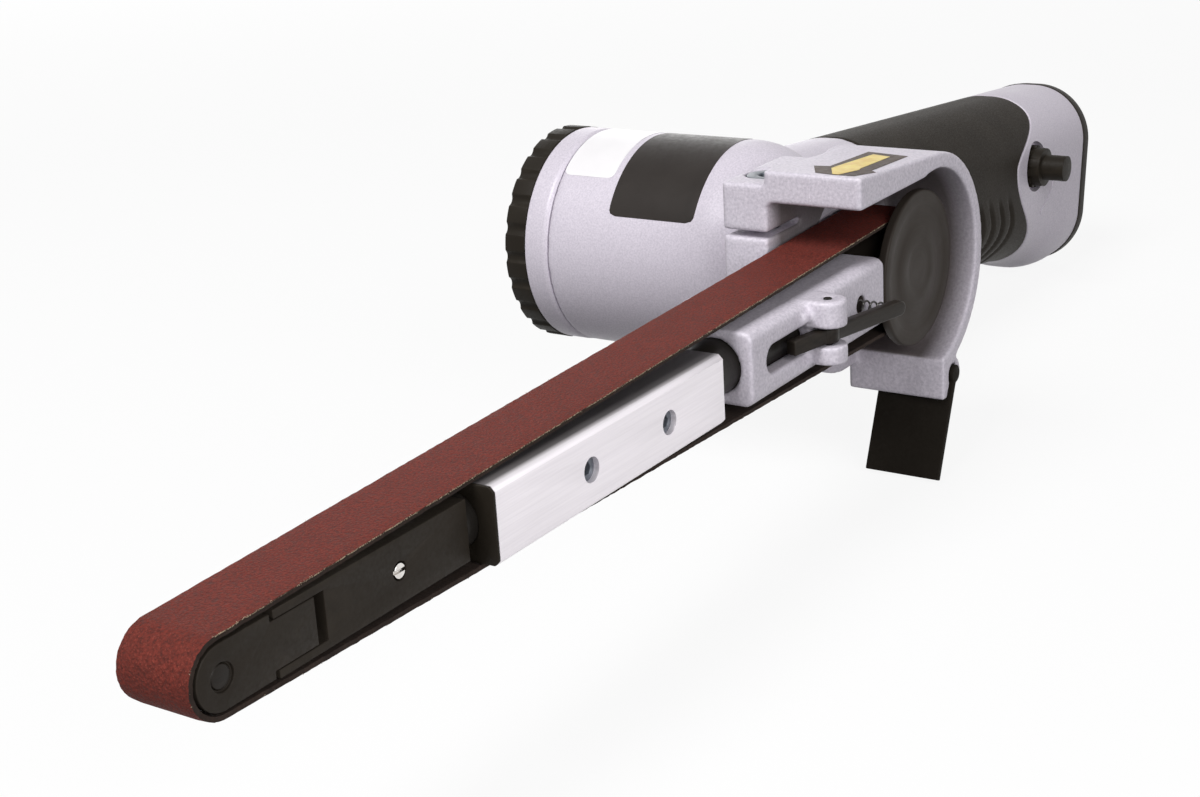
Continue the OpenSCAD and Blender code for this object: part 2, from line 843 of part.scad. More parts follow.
module trigger_spring() {
    color([0.7, 0.7, 0.72]) on_handle() translate([trigger_u, 0, trigger_top_w - cup_d])
        coil(valve_coil_r, valve_wire_r, trigger_room_w - trigger_top_w + cup_d, valve_turns);
}

module regulator_knob() {
    color([0.1, 0.1, 0.1]) on_handle() translate([knob_u, 0, passage_w]) difference() {
        union() {
            difference() {
                bar_y(knob_r, knob_top_v, knob_base_v);
                for (i = [0:knob_notches - 1])
                    rotate([0, i * 360 / knob_notches, 0]) translate([knob_r, 0, 0])
                        bar_y(knob_notch_r, -waist_w, knob_seat_v);
            }
            bar_y(knob_mid_r, knob_top_v - knob_mid_len, knob_top_v + cut);
            bar_y(knob_stub_r, knob_top_v - knob_stub_len, knob_top_v);
        }
        bar_y(regulator_r + seat_gap, knob_top_v, knob_seat_v);
    }
}

// Plug across the air passage, with a way through it that the knob turns
module regulator_stem() {
    color([0.72, 0.6, 0.3]) on_handle() translate([knob_u, 0, passage_w]) difference() {
        bar_y(regulator_r, knob_top_v, regulator_end_v);
        bar_x(regulator_r / 2, -passage_r, passage_r);
    }
}

// Side outline of the guard: rim and roof
module guard_side() {
    difference() {
        union() {
            circle(r = rim_r);
            polygon([
                [-rim_r * sin(roof_rise), rim_r * cos(roof_rise)],
                [roof_reach, roof_front_z],
                [roof_reach, roof_under],
                [0, 0]]);
        }
        circle(r = rim_in_r);
        translate([foot_front_x, foot_low_z - cut])
            square([roof_reach - foot_front_x + cut, roof_under - foot_low_z + cut]);
    }
}

// Side outline of the foot: a block ahead of the flap and a hook round its bead
module foot_side() {
    difference() {
        union() {
            translate([bead_x, foot_low_z]) square([foot_front_x - bead_x, foot_high_z - foot_low_z]);
            translate([bead_x, bead_z]) circle(r = hook_r);
        }
        circle(r = rim_in_r);
        translate([bead_x - hook_r - cut, foot_low_z - cut])
            square([hook_r + cut, bead_z - hook_drop - foot_low_z + cut]);
    }
}

// Keyhole for the flap's bead, opening downwards as far as the flap swings
module keyhole() {
    reach = foot_low;
    fore = flap_lean + flap_fore;
    aft = flap_aft - flap_lean;
    translate([bead_x, bead_z]) {
        circle(r = bead_hole_r);
        polygon([
            [mouth_half * cos(fore), mouth_half * sin(fore)],
            [mouth_half * cos(fore) + reach * tan(fore), -reach],
            [-mouth_half * cos(aft) - reach * tan(aft), -reach],
            [-mouth_half * cos(aft), mouth_half * sin(aft)]]);
    }
}

// Clamp round the motor's nose with the two ears that the clamp screw draws together
module guard_clamp() {
    difference() {
        union() {
            bar_y(collar_r, collar_far_y, wall_far_y + cut);
            block([ear_back_x, collar_far_y, slit_z], [roof_reach, wall_near_y, ear_top_z]);
            block([ear_back_x, collar_far_y, ear_low_z], [roof_reach, wall_near_y, slit_z]);
            translate([ear_back_x, wall_near_y - cut, roof_under + cut]) rotate([90, 0, 90])
                linear_extrude(height = roof_reach - ear_back_x)
                    polygon([[0, 0], [roof_fillet, 0], [0, -roof_fillet]]);
        }
        block([0, collar_far_y - cut, slit_z], [roof_reach + cut, wall_near_y + cut, slit_z + slit_h]);
    }
}

// One of the two lugs that hold the latch's pin
module latch_lug(z0, z1) {
    translate([latch_x, latch_y, z0]) cylinder(r = lug_r, h = z1 - z0);
    block([latch_x - lug_r, socket_near - socket_round, z0], [latch_x + lug_r, latch_y, z1]);
}

// Socket for the slide rod, with the slot for its key and the latch's lugs and spring hole
module arm_socket() {
    width = socket_near - wall_far_y;
    difference() {
        union() {
            translate([socket_back_x, (socket_near + wall_far_y) / 2, 0]) rotate([0, 90, 0])
                linear_extrude(height = socket_reach - socket_back_x) rounded(socket_h, width, socket_round);
            latch_lug(lug_low_z, socket_h2);
            latch_lug(-lug_end_z, -lug_low_z);
            block([latch_x, socket_near - socket_round, socket_h2 - socket_round - pad_h],
                [latch_x + pad_len, socket_near + pad_stand, socket_h2 - socket_round]);
        }
        translate([0, rod_near, 0]) bar_x(rod_bore_r, spring_seat_x, socket_reach + cut);
        side_plate(rod_near, socket_near + cut) translate([(slot_front_x + slot_back_x) / 2, 0])
            rounded(slot_front_x - slot_back_x, slot_h, slot_h / 2 - seat_gap);
        translate([latch_x, latch_y, -socket_h]) cylinder(r = latch_pin_r + seat_gap, h = 2 * socket_h);
        translate([latch_hole_x, 0, 0]) bar_y(latch_hole_r, socket_near - latch_hole_d, socket_near + cut);
    }
}

// Guard casting: clamp, back wall, rim with roof and foot, and the arm socket
module belt_guard() {
    color([0.78, 0.78, 0.82]) difference() {
        union() {
            side_plate(wall_near_y - cut, guard_near) guard_side();
            side_plate(wall_far_y + foot_far_set, guard_near) foot_side();
            side_plate(wall_far_y, wall_near_y) {
                circle(r = rim_r);
                translate([0, -wall_reach_h / 2]) square([wall_reach, wall_reach_h]);
            }
            guard_clamp();
            arm_socket();
        }
        bar_y(nose_r + run_gap, collar_far_y - cut, wall_near_y + cut);
        side_plate(wall_far_y - cut, guard_near + cut) keyhole();
        translate([clamp_x, clamp_y, 0]) {
            cylinder(r = clamp_screw_r + seat_gap, h = ear_top_z);
            translate([0, 0, ear_top_z - clamp_seat_d])
                cylinder(r = clamp_seat_r, h = clamp_seat_d + ear_drop + cut);
        }
    }
}

module clamp_screw() {
    color([0.3, 0.3, 0.32]) translate([clamp_x, clamp_y, 0]) difference() {
        union() {
            translate([0, 0, ear_top_z - clamp_seat_d]) cylinder(r = clamp_head_r, h = clamp_head_h);
            translate([0, 0, ear_low_z])
                cylinder(r = clamp_screw_r, h = ear_top_z - clamp_seat_d - ear_low_z);
        }
        translate([0, 0, ear_top_z - clamp_seat_d + clamp_head_h - clamp_hex_d])
            cylinder(r = clamp_hex_r, h = clamp_hex_d + cut, $fn = 6);
    }
}

module latch_pin() {
    color([0.6, 0.6, 0.62]) translate([latch_x, latch_y, -lug_end_z])
        cylinder(r = latch_pin_r, h = socket_h2 + lug_end_z);
}

// Latch lever between the lugs: round rear end for the finger, thin front end over the slot
module latch_lever() {
    color([0.2, 0.19, 0.18]) translate([latch_x, latch_y, 0]) rotate([0, 0, -latch_tilt]) difference() {
        union() {
            side_plate(-latch_t / 2, latch_t / 2) {
                translate([-latch_aft, 0]) circle(r = latch_h / 2);
                translate([-latch_aft, -latch_h / 2]) square([latch_aft + latch_fore, latch_h]);
            }
            translate([0, 0, -latch_h / 2]) cylinder(r = latch_boss_r, h = latch_h);
        }
        translate([0, 0, -latch_h]) cylinder(r = latch_pin_r + run_gap, h = 2 * latch_h);
    }
}

module latch_spring() {
    color([0.7, 0.7, 0.72]) translate([latch_hole_x, latch_spring_y, 0]) along_y()
        coil(latch_coil_r, latch_wire_r, latch_spring_len, latch_turns);
}

module tension_spring() {
    color([0.7, 0.7, 0.72]) translate([spring_seat_x, rod_near, 0]) along_x()
        coil(tension_coil_r, tension_wire_r, tension_len, tension_turns);
}

// Slide rod: full size in the socket, slimmer through the platen bar, with a spigot in the nose arm
module slide_rod() {
    color([0.12, 0.12, 0.12]) translate([0, rod_near, 0]) difference() {
        union() {
            bar_x(rod_r, rod_back_x, rod_step_x);
            bar_x(rod_slim_r, rod_step_x, nose_back_x);
            bar_x(spigot_r, nose_back_x, nose_back_x + spigot_len);
        }
        translate([key_x, 0, 0]) bar_y(key_r + seat_gap, 0, rod_r + cut);
    }
}

module rod_key() {
    color([0.55, 0.5, 0.3]) translate([key_x, rod_near, 0]) bar_y(key_r, 0, rod_r + key_stand);
}

// Bevelled outline of the platen bar's end
function bevelled(half_w, half_h, bevel) = [
    [half_w, half_h - bevel], [half_w - bevel, half_h], [bevel - half_w, half_h], [-half_w, half_h - bevel],
    [-half_w, bevel - half_h], [bevel - half_w, -half_h],
    [half_w - bevel, -half_h], [half_w, bevel - half_h]];

// A length of the platen bar, bored for the slide rod
module bar_length(x0, x1) {
    difference() {
        translate([x0, 0, 0]) along_x() linear_extrude(height = x1 - x0)
            polygon(bevelled(bar_h / 2, bar_half_w, bar_bevel));
        bar_x(rod_slim_r + seat_gap, x0 - cut, x1 + cut);
    }
}

module platen_bar() {
    color([0.9, 0.88, 0.9]) translate([0, rod_near, 0]) difference() {
        bar_length(bar_back_x, bar_cap_x);
        each_bar_screw() bar_y(grub_r + seat_gap, 0, bar_half_w + cut);
    }
}

module bar_end_cap() {
    color([0.1, 0.1, 0.1]) translate([0, rod_near, 0]) bar_length(bar_cap_x, bar_front_x);
}

module each_bar_screw() {
    for (share = bar_screw_shares) translate([bar_back_x + bar_len * share, 0, 0]) children();
}

module bar_screws() {
    color([0.55, 0.55, 0.57]) translate([0, rod_near, 0]) each_bar_screw() difference() {
        bar_y(grub_r, rod_slim_r, rod_slim_r + grub_len);
        translate([0, rod_slim_r + grub_len / 2, 0]) along_y()
            cylinder(r = grub_hex_r, h = grub_len, $fn = 6);
    }
}

// Nose arm: seat for the rod, pocket for the tail of the pivoting nose, slot for its tongue
module nose_arm() {
    color([0.13, 0.125, 0.12]) difference() {
        block([nose_back_x, -nose_half, -nose_arm_h / 2], [nose_arm_x, nose_half, nose_arm_h / 2]);
        translate([0, rod_near, 0])
            bar_x(spigot_r + seat_gap, nose_back_x - cut, nose_back_x + spigot_len + seat_gap);
        block([tongue_back_x - tongue_gap, -nose_half - cut, -tongue_h / 2 - prong_gap],
            [nose_arm_x + cut, nose_half + cut, tongue_h / 2 + prong_gap]);
        block([pocket_back_x, -pocket_half_y, -pocket_z / 2], [tongue_back_x, pocket_half_y, pocket_z / 2]);
        translate([pivot_x, 0, -nose_arm_h]) cylinder(r = pivot_r + seat_gap, h = 2 * nose_arm_h);
        translate([track_x, 0, 0]) {
            bar_y(track_r + run_gap, 0, nose_half + cut);
            bar_y(track_head_r + pass_gap, nose_half - track_head_h - pass_gap, nose_half + cut);
        }
    }
}

module pivot_pin() {
    color([0.5, 0.5, 0.52]) translate([pivot_x, 0, -nose_arm_h / 2]) cylinder(r = pivot_r, h = nose_arm_h);
}

// Screw that pushes the tail of the pivoting nose to steer the belt
module tracking_screw() {
    color([0.8, 0.8, 0.82]) translate([track_x, 0, 0]) difference() {
        union() {
            bar_y(track_r, tail_t / 2 + track_room, nose_half - track_head_h);
            bar_y(track_head_r, nose_half - track_head_h, nose_half);
        }
        block([-track_head_r, nose_half - track_slot, -track_slot / 2],
            [track_head_r, nose_half + cut, track_slot / 2]);
    }
}

module tracking_spring() {
    color([0.7, 0.7, 0.72]) translate([track_x, -pocket_half_y, 0]) along_y()
        coil(track_coil_r, track_wire_r, pocket_half_y - tail_t / 2 - pass_gap, track_turns);
}

// Pivoting nose: tail and tongue in the nose arm, two cheeks for the axle
module nose_yoke() {
    color([0.14, 0.135, 0.13]) difference() {
        union() {
            side_plate(-nose_half, nose_half) {
                translate([nose_x, 0]) circle(r = yoke_h / 2);
                translate([yoke_x, -yoke_h / 2]) square([nose_x - yoke_x, yoke_h]);
                translate([tongue_back_x, -tongue_h / 2]) square([tongue_len + cut, tongue_h]);
            }
            block([tail_back_x, -tail_t / 2, -tail_z / 2], [tongue_back_x + cut, tail_t / 2, tail_z / 2]);
        }
        block([yoke_web_x, -nose_half + fork_t, -yoke_h], [nose_x + yoke_h, nose_half - fork_t, yoke_h]);
        translate([pivot_x, 0, -yoke_h]) cylinder(r = pivot_r + run_gap, h = 2 * yoke_h);
        translate([nose_x, 0, 0]) {
            bar_y(axle_r + seat_gap, -nose_half - cut, nose_half + cut);
            bar_y(axle_dish_r, nose_half - axle_dish_d, nose_half + cut);
            bar_y(axle_dish_r, -nose_half - cut, axle_dish_d - nose_half);
        }
    }
}

module idler_axle() {
    color([0.35, 0.34, 0.33]) translate([nose_x, 0, 0])
        bar_y(axle_r, axle_sink - nose_half, nose_half - axle_sink);
}

module idler_pulley() {
    color([0.5, 0.5, 0.52]) translate([nose_x, 0, 0])
        ring_y(idler_r, bush_r + seat_gap, -idler_w / 2, idler_w / 2);
}

module idler_bush() {
    color([0.72, 0.55, 0.3]) translate([nose_x, 0, 0])
        ring_y(bush_r, axle_r + run_gap, -idler_w / 2 - bush_flange, idler_w / 2 + bush_flange);
}

// Rubber flap that hangs from its bead in the guard's foot
module deflector_flap() {
    color([0.1, 0.1, 0.1]) translate([bead_x, 0, bead_z]) rotate([0, -flap_lean, 0])
        side_plate(flap_far_y, flap_near_y) {
            circle(r = bead_r);
            translate([-flap_t / 2, -flap_len]) square([flap_t, flap_len]);
        }
}

module placed() {
    translate(stand) children();
}

placed() motor_housing();
placed() handle_casing();
placed() handle_grip();
placed() end_cap();
placed() end_cap_screws();
placed() inlet_bush();
placed() rear_cover();
placed() rear_ring();
placed() cylinder_liner();
placed() front_plate();
placed() rear_plate();
placed() front_bearing();
placed() rear_bearing();
placed() trigger_spring();
placed() trigger();
placed() throttle_valve();
placed() regulator_knob();
placed() regulator_stem();
placed() rotor();
placed() rotor_vanes();
placed() drive_pulley();
placed() belt_guard();
placed() clamp_screw();
placed() latch_pin();
placed() latch_spring();
placed() tension_spring();
placed() abrasive_belt();
placed() slide_rod();
placed() rod_key();
placed() platen_bar();
placed() bar_end_cap();
placed() bar_screws();
placed() nose_arm();
placed() pivot_pin();
placed() tracking_spring();
placed() tracking_screw();
placed() nose_yoke();
placed() idler_axle();
placed() idler_pulley();
placed() idler_bush();
placed() latch_lever();
placed() deflector_flap();
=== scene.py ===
import json
from math import asin, copysign, cos, hypot, pi, radians, sin, sqrt, tan
import random
import bpy
import bmesh
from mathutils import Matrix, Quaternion, Vector, noise


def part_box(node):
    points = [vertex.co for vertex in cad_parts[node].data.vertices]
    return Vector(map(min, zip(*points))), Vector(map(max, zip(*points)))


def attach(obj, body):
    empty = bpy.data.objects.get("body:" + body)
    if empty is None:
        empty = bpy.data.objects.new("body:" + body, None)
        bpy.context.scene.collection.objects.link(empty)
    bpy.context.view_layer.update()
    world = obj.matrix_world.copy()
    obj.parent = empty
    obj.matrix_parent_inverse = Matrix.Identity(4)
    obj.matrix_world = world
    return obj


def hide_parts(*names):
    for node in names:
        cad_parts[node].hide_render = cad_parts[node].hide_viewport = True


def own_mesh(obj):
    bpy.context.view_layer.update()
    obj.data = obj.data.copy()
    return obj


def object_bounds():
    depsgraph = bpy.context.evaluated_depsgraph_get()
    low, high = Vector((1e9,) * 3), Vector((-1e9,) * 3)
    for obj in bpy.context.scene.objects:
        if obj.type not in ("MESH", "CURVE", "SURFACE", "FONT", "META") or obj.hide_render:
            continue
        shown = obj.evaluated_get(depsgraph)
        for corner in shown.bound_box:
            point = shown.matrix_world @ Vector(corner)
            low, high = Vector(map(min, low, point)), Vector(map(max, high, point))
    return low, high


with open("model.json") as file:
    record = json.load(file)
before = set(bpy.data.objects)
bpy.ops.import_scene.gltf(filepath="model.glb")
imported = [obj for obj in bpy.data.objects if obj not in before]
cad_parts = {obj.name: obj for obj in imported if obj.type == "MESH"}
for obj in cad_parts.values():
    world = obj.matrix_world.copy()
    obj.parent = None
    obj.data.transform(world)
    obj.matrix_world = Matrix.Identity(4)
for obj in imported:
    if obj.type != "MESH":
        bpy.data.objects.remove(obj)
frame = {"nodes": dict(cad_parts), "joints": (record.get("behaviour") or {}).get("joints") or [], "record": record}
cadLow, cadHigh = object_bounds()
nodes = frame["nodes"]
scene = bpy.context.scene
mm = 0.001
driveAxis = next(Vector(j["pos_m"]) for j in frame["joints"] if j["name"] == "drive_spin")
print("frame loaded:", len(nodes), "nodes")


# pieces are drawn in mm from the drive axis: x to the nose, y to the open side, z up

def at(x, y, z):
    return driveAxis + Vector((x, y, z)) * mm


# small helpers for meshes

crease = 35  # degrees; sharper edges stay sharp
weldForm = dict(near=3e-6, flat=0.6)
softEdge = dict(segments=3, angle=32)


def placed(name, data):
    thing = bpy.data.objects.new(name, data)
    scene.collection.objects.link(thing)
    return thing


def meshOf(name, verts, faces):
    mesh = bpy.data.meshes.new(name)
    mesh.from_pydata([tuple(v) for v in verts], [], faces)
    return mesh


def setMaterials(mesh, mats):
    mesh.materials.clear()
    for mat in mats:
        mesh.materials.append(mat)


def smoothBy(mesh, sharp):
    mesh.polygons.foreach_set("use_smooth", [True] * len(mesh.polygons))
    mesh.set_sharp_from_angle(angle=radians(sharp))
    mesh.update()


def newPiece(name, verts, faces, body, mats, sharp=40, replaced=()):
    mesh = meshOf(name, verts, faces)
    mesh.validate()
    setMaterials(mesh, mats)
    piece = placed(name, mesh)
    smoothBy(mesh, sharp)
    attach(piece, body)
    if replaced:
        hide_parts(*replaced)
    return piece


def reworked(mesh, work):
    bm = bmesh.new()
    bm.from_mesh(mesh)
    work(bm, faces=bm.faces)
    bm.to_mesh(mesh)
    bm.free()


def outward(piece):
    reworked(piece.data, bmesh.ops.recalc_face_normals)


def applied(piece):
    graph = bpy.context.evaluated_depsgraph_get()
    done = bpy.data.meshes.new_from_object(piece.evaluated_get(graph))
    old = piece.data
    piece.modifiers.clear()
    piece.data = done
    bpy.data.meshes.remove(old)
    done.name = piece.name
    return done


def between(pair, t):
    return pair[0] + (pair[1] - pair[0]) * t


def wave(x, y, z):
    return noise.noise(Vector((x, y, z)))


def circle(sides):
    angles = [2 * pi * k / sides for k in range(sides)]
    return [(cos(a), sin(a)) for a in angles]


def quarterRound(size, steps):
    # a rounded edge from its end face outward: shift along, inset across
    angles = [pi / 2 * i / steps for i in range(steps + 1)]
    return [(size * (1 - cos(a)), size * (1 - sin(a))) for a in angles]


def gridFaces(rows, cols, wrapRows=False, wrapCols=True):
    faces = []
    for i in range(rows if wrapRows else rows - 1):
        here, above = i * cols, (i + 1) % rows * cols
        for k in range(cols if wrapCols else cols - 1):
            after = (k + 1) % cols
            faces.append((here + k, here + after, above + after, above + k))
    return faces


def cappedFaces(rows, cols):
    last = (rows - 1) * cols
    return gridFaces(rows, cols) + [tuple(reversed(range(cols))), tuple(range(last, last + cols))]


def shifted(faces, by):
    return [tuple(by + i for i in face) for face in faces]


def latheMesh(profile, sides):
    verts = [at(radius * c, y, radius * s) for radius, y in profile for c, s in circle(sides)]
    return verts, cappedFaces(len(profile), sides)


def roundedProfile(corners, steps=6):
    # corners are (radius, y, fillet); a fillet takes less than half of the edges beside it
    share = 0.49
    out = [corners[0][:2]]
    for before, here, after in zip(corners, corners[1:], corners[2:]):
        p = Vector(here[:2])
        a, b = Vector(before[:2]) - p, Vector(after[:2]) - p
        reach = min(here[2], a.length * share, b.length * share)
        start, end = p + a.normalized() * reach, p + b.normalized() * reach
        for i in range(steps + 1):
            t = i / steps
            out.append(tuple(start.lerp(p, t).lerp(p.lerp(end, t), t)))
    out.append(corners[-1][:2])
    return out


def tubeAlong(points, radius, sides):
    verts = []
    side = Vector((0, 0, 1))
    for before, p, after in zip(points[:1] + points, points, points[1:] + points[-1:]):
        along = (after - before).normalized()
        side = (side - along * side.dot(along)).normalized()
        other = along.cross(side)
        verts += [p + (side * c + other * s) * radius for c, s in circle(sides)]
    return verts, cappedFaces(len(points), sides)


def welded(node):
    bm = bmesh.new()
    bm.from_mesh(nodes[node].data)
    bmesh.ops.remove_doubles(bm, verts=bm.verts, dist=weldForm["near"])
    bmesh.ops.dissolve_limit(bm, angle_limit=radians(weldForm["flat"]), verts=bm.verts, edges=bm.edges)
    bm.verts.ensure_lookup_table()
    verts = [v.co.copy() for v in bm.verts]
    faces = [[v.index for v in f.verts] for f in bm.faces]
    bm.free()
    return verts, faces


def softCopy(node, name, bevel, body, slot, mat):
    # the CAD shape with its edges broken
    verts, faces = welded(node)
    piece = newPiece(name, verts, faces, body, [mat], replaced=(node,))
    edge = piece.modifiers.new("edge", "BEVEL")
    edge.width = bevel * mm
    edge.segments = softEdge["segments"]
    edge.limit_method = "ANGLE"
    edge.angle_limit = radians(softEdge["angle"])
    edge.miter_outer = "MITER_ARC"
    smoothBy(applied(piece), crease)


def castCopy(name, verts, faces, form, body, mat, replaced):
    # a casting: remeshed and smoothed, so that its edges and inside corners come out round
    piece = newPiece(name, verts, faces, body, [mat], replaced=replaced)
    remesh = piece.modifiers.new("remesh", "REMESH")
    remesh.mode = "VOXEL"
    remesh.voxel_size = form["voxel"] * mm
    remesh.use_smooth_shade = True
    soft = piece.modifiers.new("soft", "SMOOTH")
    soft.factor = form["factor"]
    soft.iterations = form["rounds"]
    mesh = applied(piece)
    setMaterials(mesh, [mat])
    smoothBy(mesh, sharp=180)


# small helpers for shader nodes

noiseSpan = (0.3, 0.7)  # where most of a noise pattern's values lie
palest = 0.95


def feed(tree, socket, value):
    if isinstance(value, (int, float, tuple)):
        socket.default_value = value
    else:
        tree.links.new(value, socket)


def opNode(tree, kind, operation, values):
    node = tree.nodes.new(kind)
    node.operation = operation
    for socket, value in zip(node.inputs, values):
        feed(tree, socket, value)
    return node


def mathNode(tree, operation, *values):
    return opNode(tree, "ShaderNodeMath", operation, values).outputs[0]


def vectorNode(tree, operation, *values, out="Vector"):
    return opNode(tree, "ShaderNodeVectorMath", operation, values).outputs[out]


def product(tree, first, *others):
    for other in others:
        first = mathNode(tree, "MULTIPLY", first, other)
    return first


def objectPlace(tree):
    return tree.nodes.new("ShaderNodeTexCoord").outputs["Object"]


def noiseNode(tree, vector, scale, detail=3, rough=0.55):
    node = tree.nodes.new("ShaderNodeTexNoise")
    for label, given in (("Vector", vector), ("Scale", scale), ("Detail", detail), ("Roughness", rough)):
        feed(tree, node.inputs[label], given)
    return node.outputs["Fac"]


def rangeNode(tree, value, low, high, outLow=0.0, outHigh=1.0):
    node = tree.nodes.new("ShaderNodeMapRange")
    labels = ("Value", "From Min", "From Max", "To Min", "To Max")
    for label, given in zip(labels, (value, low, high, outLow, outHigh)):
        feed(tree, node.inputs[label], given)
    return node.outputs["Result"]


def mixColor(tree, factor, a, b):
    node = tree.nodes.new("ShaderNodeMix")
    node.data_type = "RGBA"
    feed(tree, node.inputs[0], factor)
    colours = [socket for socket in node.inputs if socket.type == "RGBA"]
    for socket, given in zip(colours, (a, b)):
        feed(tree, socket, (*given, 1) if isinstance(given, tuple) else given)
    return next(socket for socket in node.outputs if socket.type == "RGBA")


def scaled(colour, share):
    return tuple(min(palest, share * c) for c in colour)


def setSockets(sockets, values):
    for label, value in values.items():
        sockets[label.replace("_", " ")].default_value = value


# shader groups shared by the finishes

rubAndHollowForm = dict(Rubbed=dict(curve=(0.52, 0.60), patch=(0.42, 0.62)),
                Hollows=dict(curve=(0.48, 0.40), patch=(0.25, 0.6)))


def groupOf(name, outputs, **inputs):
    tree = bpy.data.node_groups.new(name, "ShaderNodeTree")
    for label, value in inputs.items():
        kind = "NodeSocketVector" if isinstance(value, tuple) else "NodeSocketFloat"
        socket = tree.interface.new_socket(label.replace("_", " "), in_out="INPUT", socket_type=kind)
        socket.default_value = value
    for label in outputs:
        tree.interface.new_socket(label, in_out="OUTPUT", socket_type="NodeSocketFloat")
    return tree, tree.nodes.new("NodeGroupInput").outputs, tree.nodes.new("NodeGroupOutput").inputs


def makeGrainGroup():
    # fine grain with a slow drift under it
    tree, given, made = groupOf("fineGrain", ("Grain", "Drift"), Scale=1000.0, Drift_Scale=60.0)
    place = objectPlace(tree)
    tree.links.new(noiseNode(tree, place, given["Scale"], detail=2, rough=0.6), made["Grain"])
    tree.links.new(noiseNode(tree, place, given["Drift Scale"], detail=4, rough=0.5), made["Drift"])
    return tree


def makeRubAndHollowGroup():
    # rubbed edges, and darker in the corners, from the mesh's own curvature
    tree, given, made = groupOf("edgeRubAndHollows", ("Rubbed", "Hollows"), Break_Scale=220.0)
    curve = tree.nodes.new("ShaderNodeNewGeometry").outputs["Pointiness"]
    patch = noiseNode(tree, objectPlace(tree), given["Break Scale"], detail=4, rough=0.6)
    for label, span in rubAndHollowForm.items():
        mask = product(tree, rangeNode(tree, curve, *span["curve"]), rangeNode(tree, patch, *span["patch"]))
        tree.links.new(mask, made[label])
    return tree


def makeBrushGroup():
    # long fine strokes along one axis, for brushed metal and threads
    tree, given, made = groupOf("brushStroke", ("Stroke",), Stretch=(40.0, 2500.0, 2500.0))
    stretched = vectorNode(tree, "MULTIPLY", objectPlace(tree), given["Stretch"])
    tree.links.new(noiseNode(tree, stretched, 1.0, rough=0.6), made["Stroke"])
    return tree


fineGrain = makeGrainGroup()
edgeRubAndHollows = makeRubAndHollowGroup()
brushStroke = makeBrushGroup()


def placeGroup(tree, group, **values):
    node = tree.nodes.new("ShaderNodeGroup")
    node.node_tree = group
    setSockets(node.inputs, values)
    return node.outputs


# dust, with painted shade and shadow: each mask grows between two places in mm, by x, y, z or the distance r from
# an axis along y

dustAndShadeForm = dict(colour=(0.085, 0.068, 0.060), amount=0.88, drift=(0.2, 0.5, 0.7, 1.0), holeX=28.0,
                rim=(("r", 21.4, 21.0), ("r", 19.6, 20.1), ("y", 12.8, 7.0), ("x", 12.0, 8.0)),
                wall=(("y", -5.0, -5.6), ("y", -8.1, -7.8), ("x", 33.5, 28.0), ("z", 20.9, 20.5),
                      ("z", 6.0, 9.0)),
                hole=(("r", 2.4, 1.9), ("y", 9.6, 9.1)))
barShadowAndDust = dict(colour=(0.034, 0.029, 0.027), amount=0.9, top=(("z", 5.8, 6.1), ("y", 9.5, 7.8)))


def placesFrom(tree, axis):
    apart = tree.nodes.new("ShaderNodeSeparateXYZ")
    tree.links.new(vectorNode(tree, "SUBTRACT", objectPlace(tree), tuple(axis)), apart.inputs["Vector"])
    x, y, z = (apart.outputs[k] for k in "XYZ")
    r = mathNode(tree, "SQRT", mathNode(tree, "ADD", product(tree, x, x), product(tree, z, z)))
    return dict(x=x, y=y, z=z, r=r)


def within(tree, places, limits):
    return product(tree, *(rangeNode(tree, places[k], none * mm, full * mm) for k, none, full in limits))


def beltShadowAndDust(tree):
    # painted shadow of the belt on the bar's top face, with black dust under the belt
    return product(tree, within(tree, placesFrom(tree, driveAxis), barShadowAndDust["top"]), barShadowAndDust["amount"])


def guardDustAndShade(tree, drift):
    # dust with painted shade on the rim's inner face and on the back wall above the belt, and painted shade in the
    # latch spring's hole
    d = dustAndShadeForm
    places = placesFrom(tree, driveAxis)
    rimOrWall = mathNode(tree, "MAXIMUM", within(tree, places, d["rim"]), within(tree, places, d["wall"]))
    dustAndShade = product(tree, rimOrWall, rangeNode(tree, drift, *d["drift"]), d["amount"])
    hole = within(tree, placesFrom(tree, at(d["holeX"], 0, 0)), d["hole"])
    return mathNode(tree, "MAXIMUM", dustAndShade, hole)


# finishes

paintForm = dict(drift=45.0, breaks=260.0, hollowShare=0.5, hollowTone=0.35, rub=0.35, bump=0.35)
mouldForm = dict(drift=80.0, driftSpan=(0.35, 0.7), breaks=300.0, rub=0.3, rubTone=1.7)
metalForm = dict(grain=700.0, drift=120.0, breaks=400.0, hollowShare=0.6, hollowTone=0.4, bump=0.3)
turnedForm = dict(grain=500.0, drift=90.0, bump=0.25, depth=0.03)
abrasiveForm = dict(deep=(0.057, 0.0108, 0.0078), bright=(0.190, 0.035, 0.025), coarse=1900.0,
                    worn=(0.075, 0.0185, 0.014), patch=260.0, patchSpan=(0.4, 0.75, 0.0, 0.4),
                    glint=(0.27, 0.070, 0.048), cells=2300.0, cellSpan=(0.3, 0.12, 0.0, 0.4),
                    coarseSpan=(0.36, 0.66), rough=(0.6, 0.9), pits=-0.8, bump=0.7, depth=0.22)
clothForm = dict(across=(2600.0, 120.0, 300.0), along=(120.0, 2600.0, 300.0), weaveSpan=(0.1, 0.45),
                 fuzz=300.0, rough=(0.75, 0.95), bump=0.5, depth=0.1)
frayForm = dict(grain=3000.0, drift=220.0, ends=(0.46, 0.56), runs=(0.34, 0.5), rough=(0.75, 0.95),
                bump=0.6, depth=0.1)


def startMaterial(name, **sockets):
    mat = bpy.data.materials.new(name)
    mat.use_nodes = True
    shader = mat.node_tree.nodes["Principled BSDF"]
    setSockets(shader.inputs, sockets)
    return mat, mat.node_tree, shader


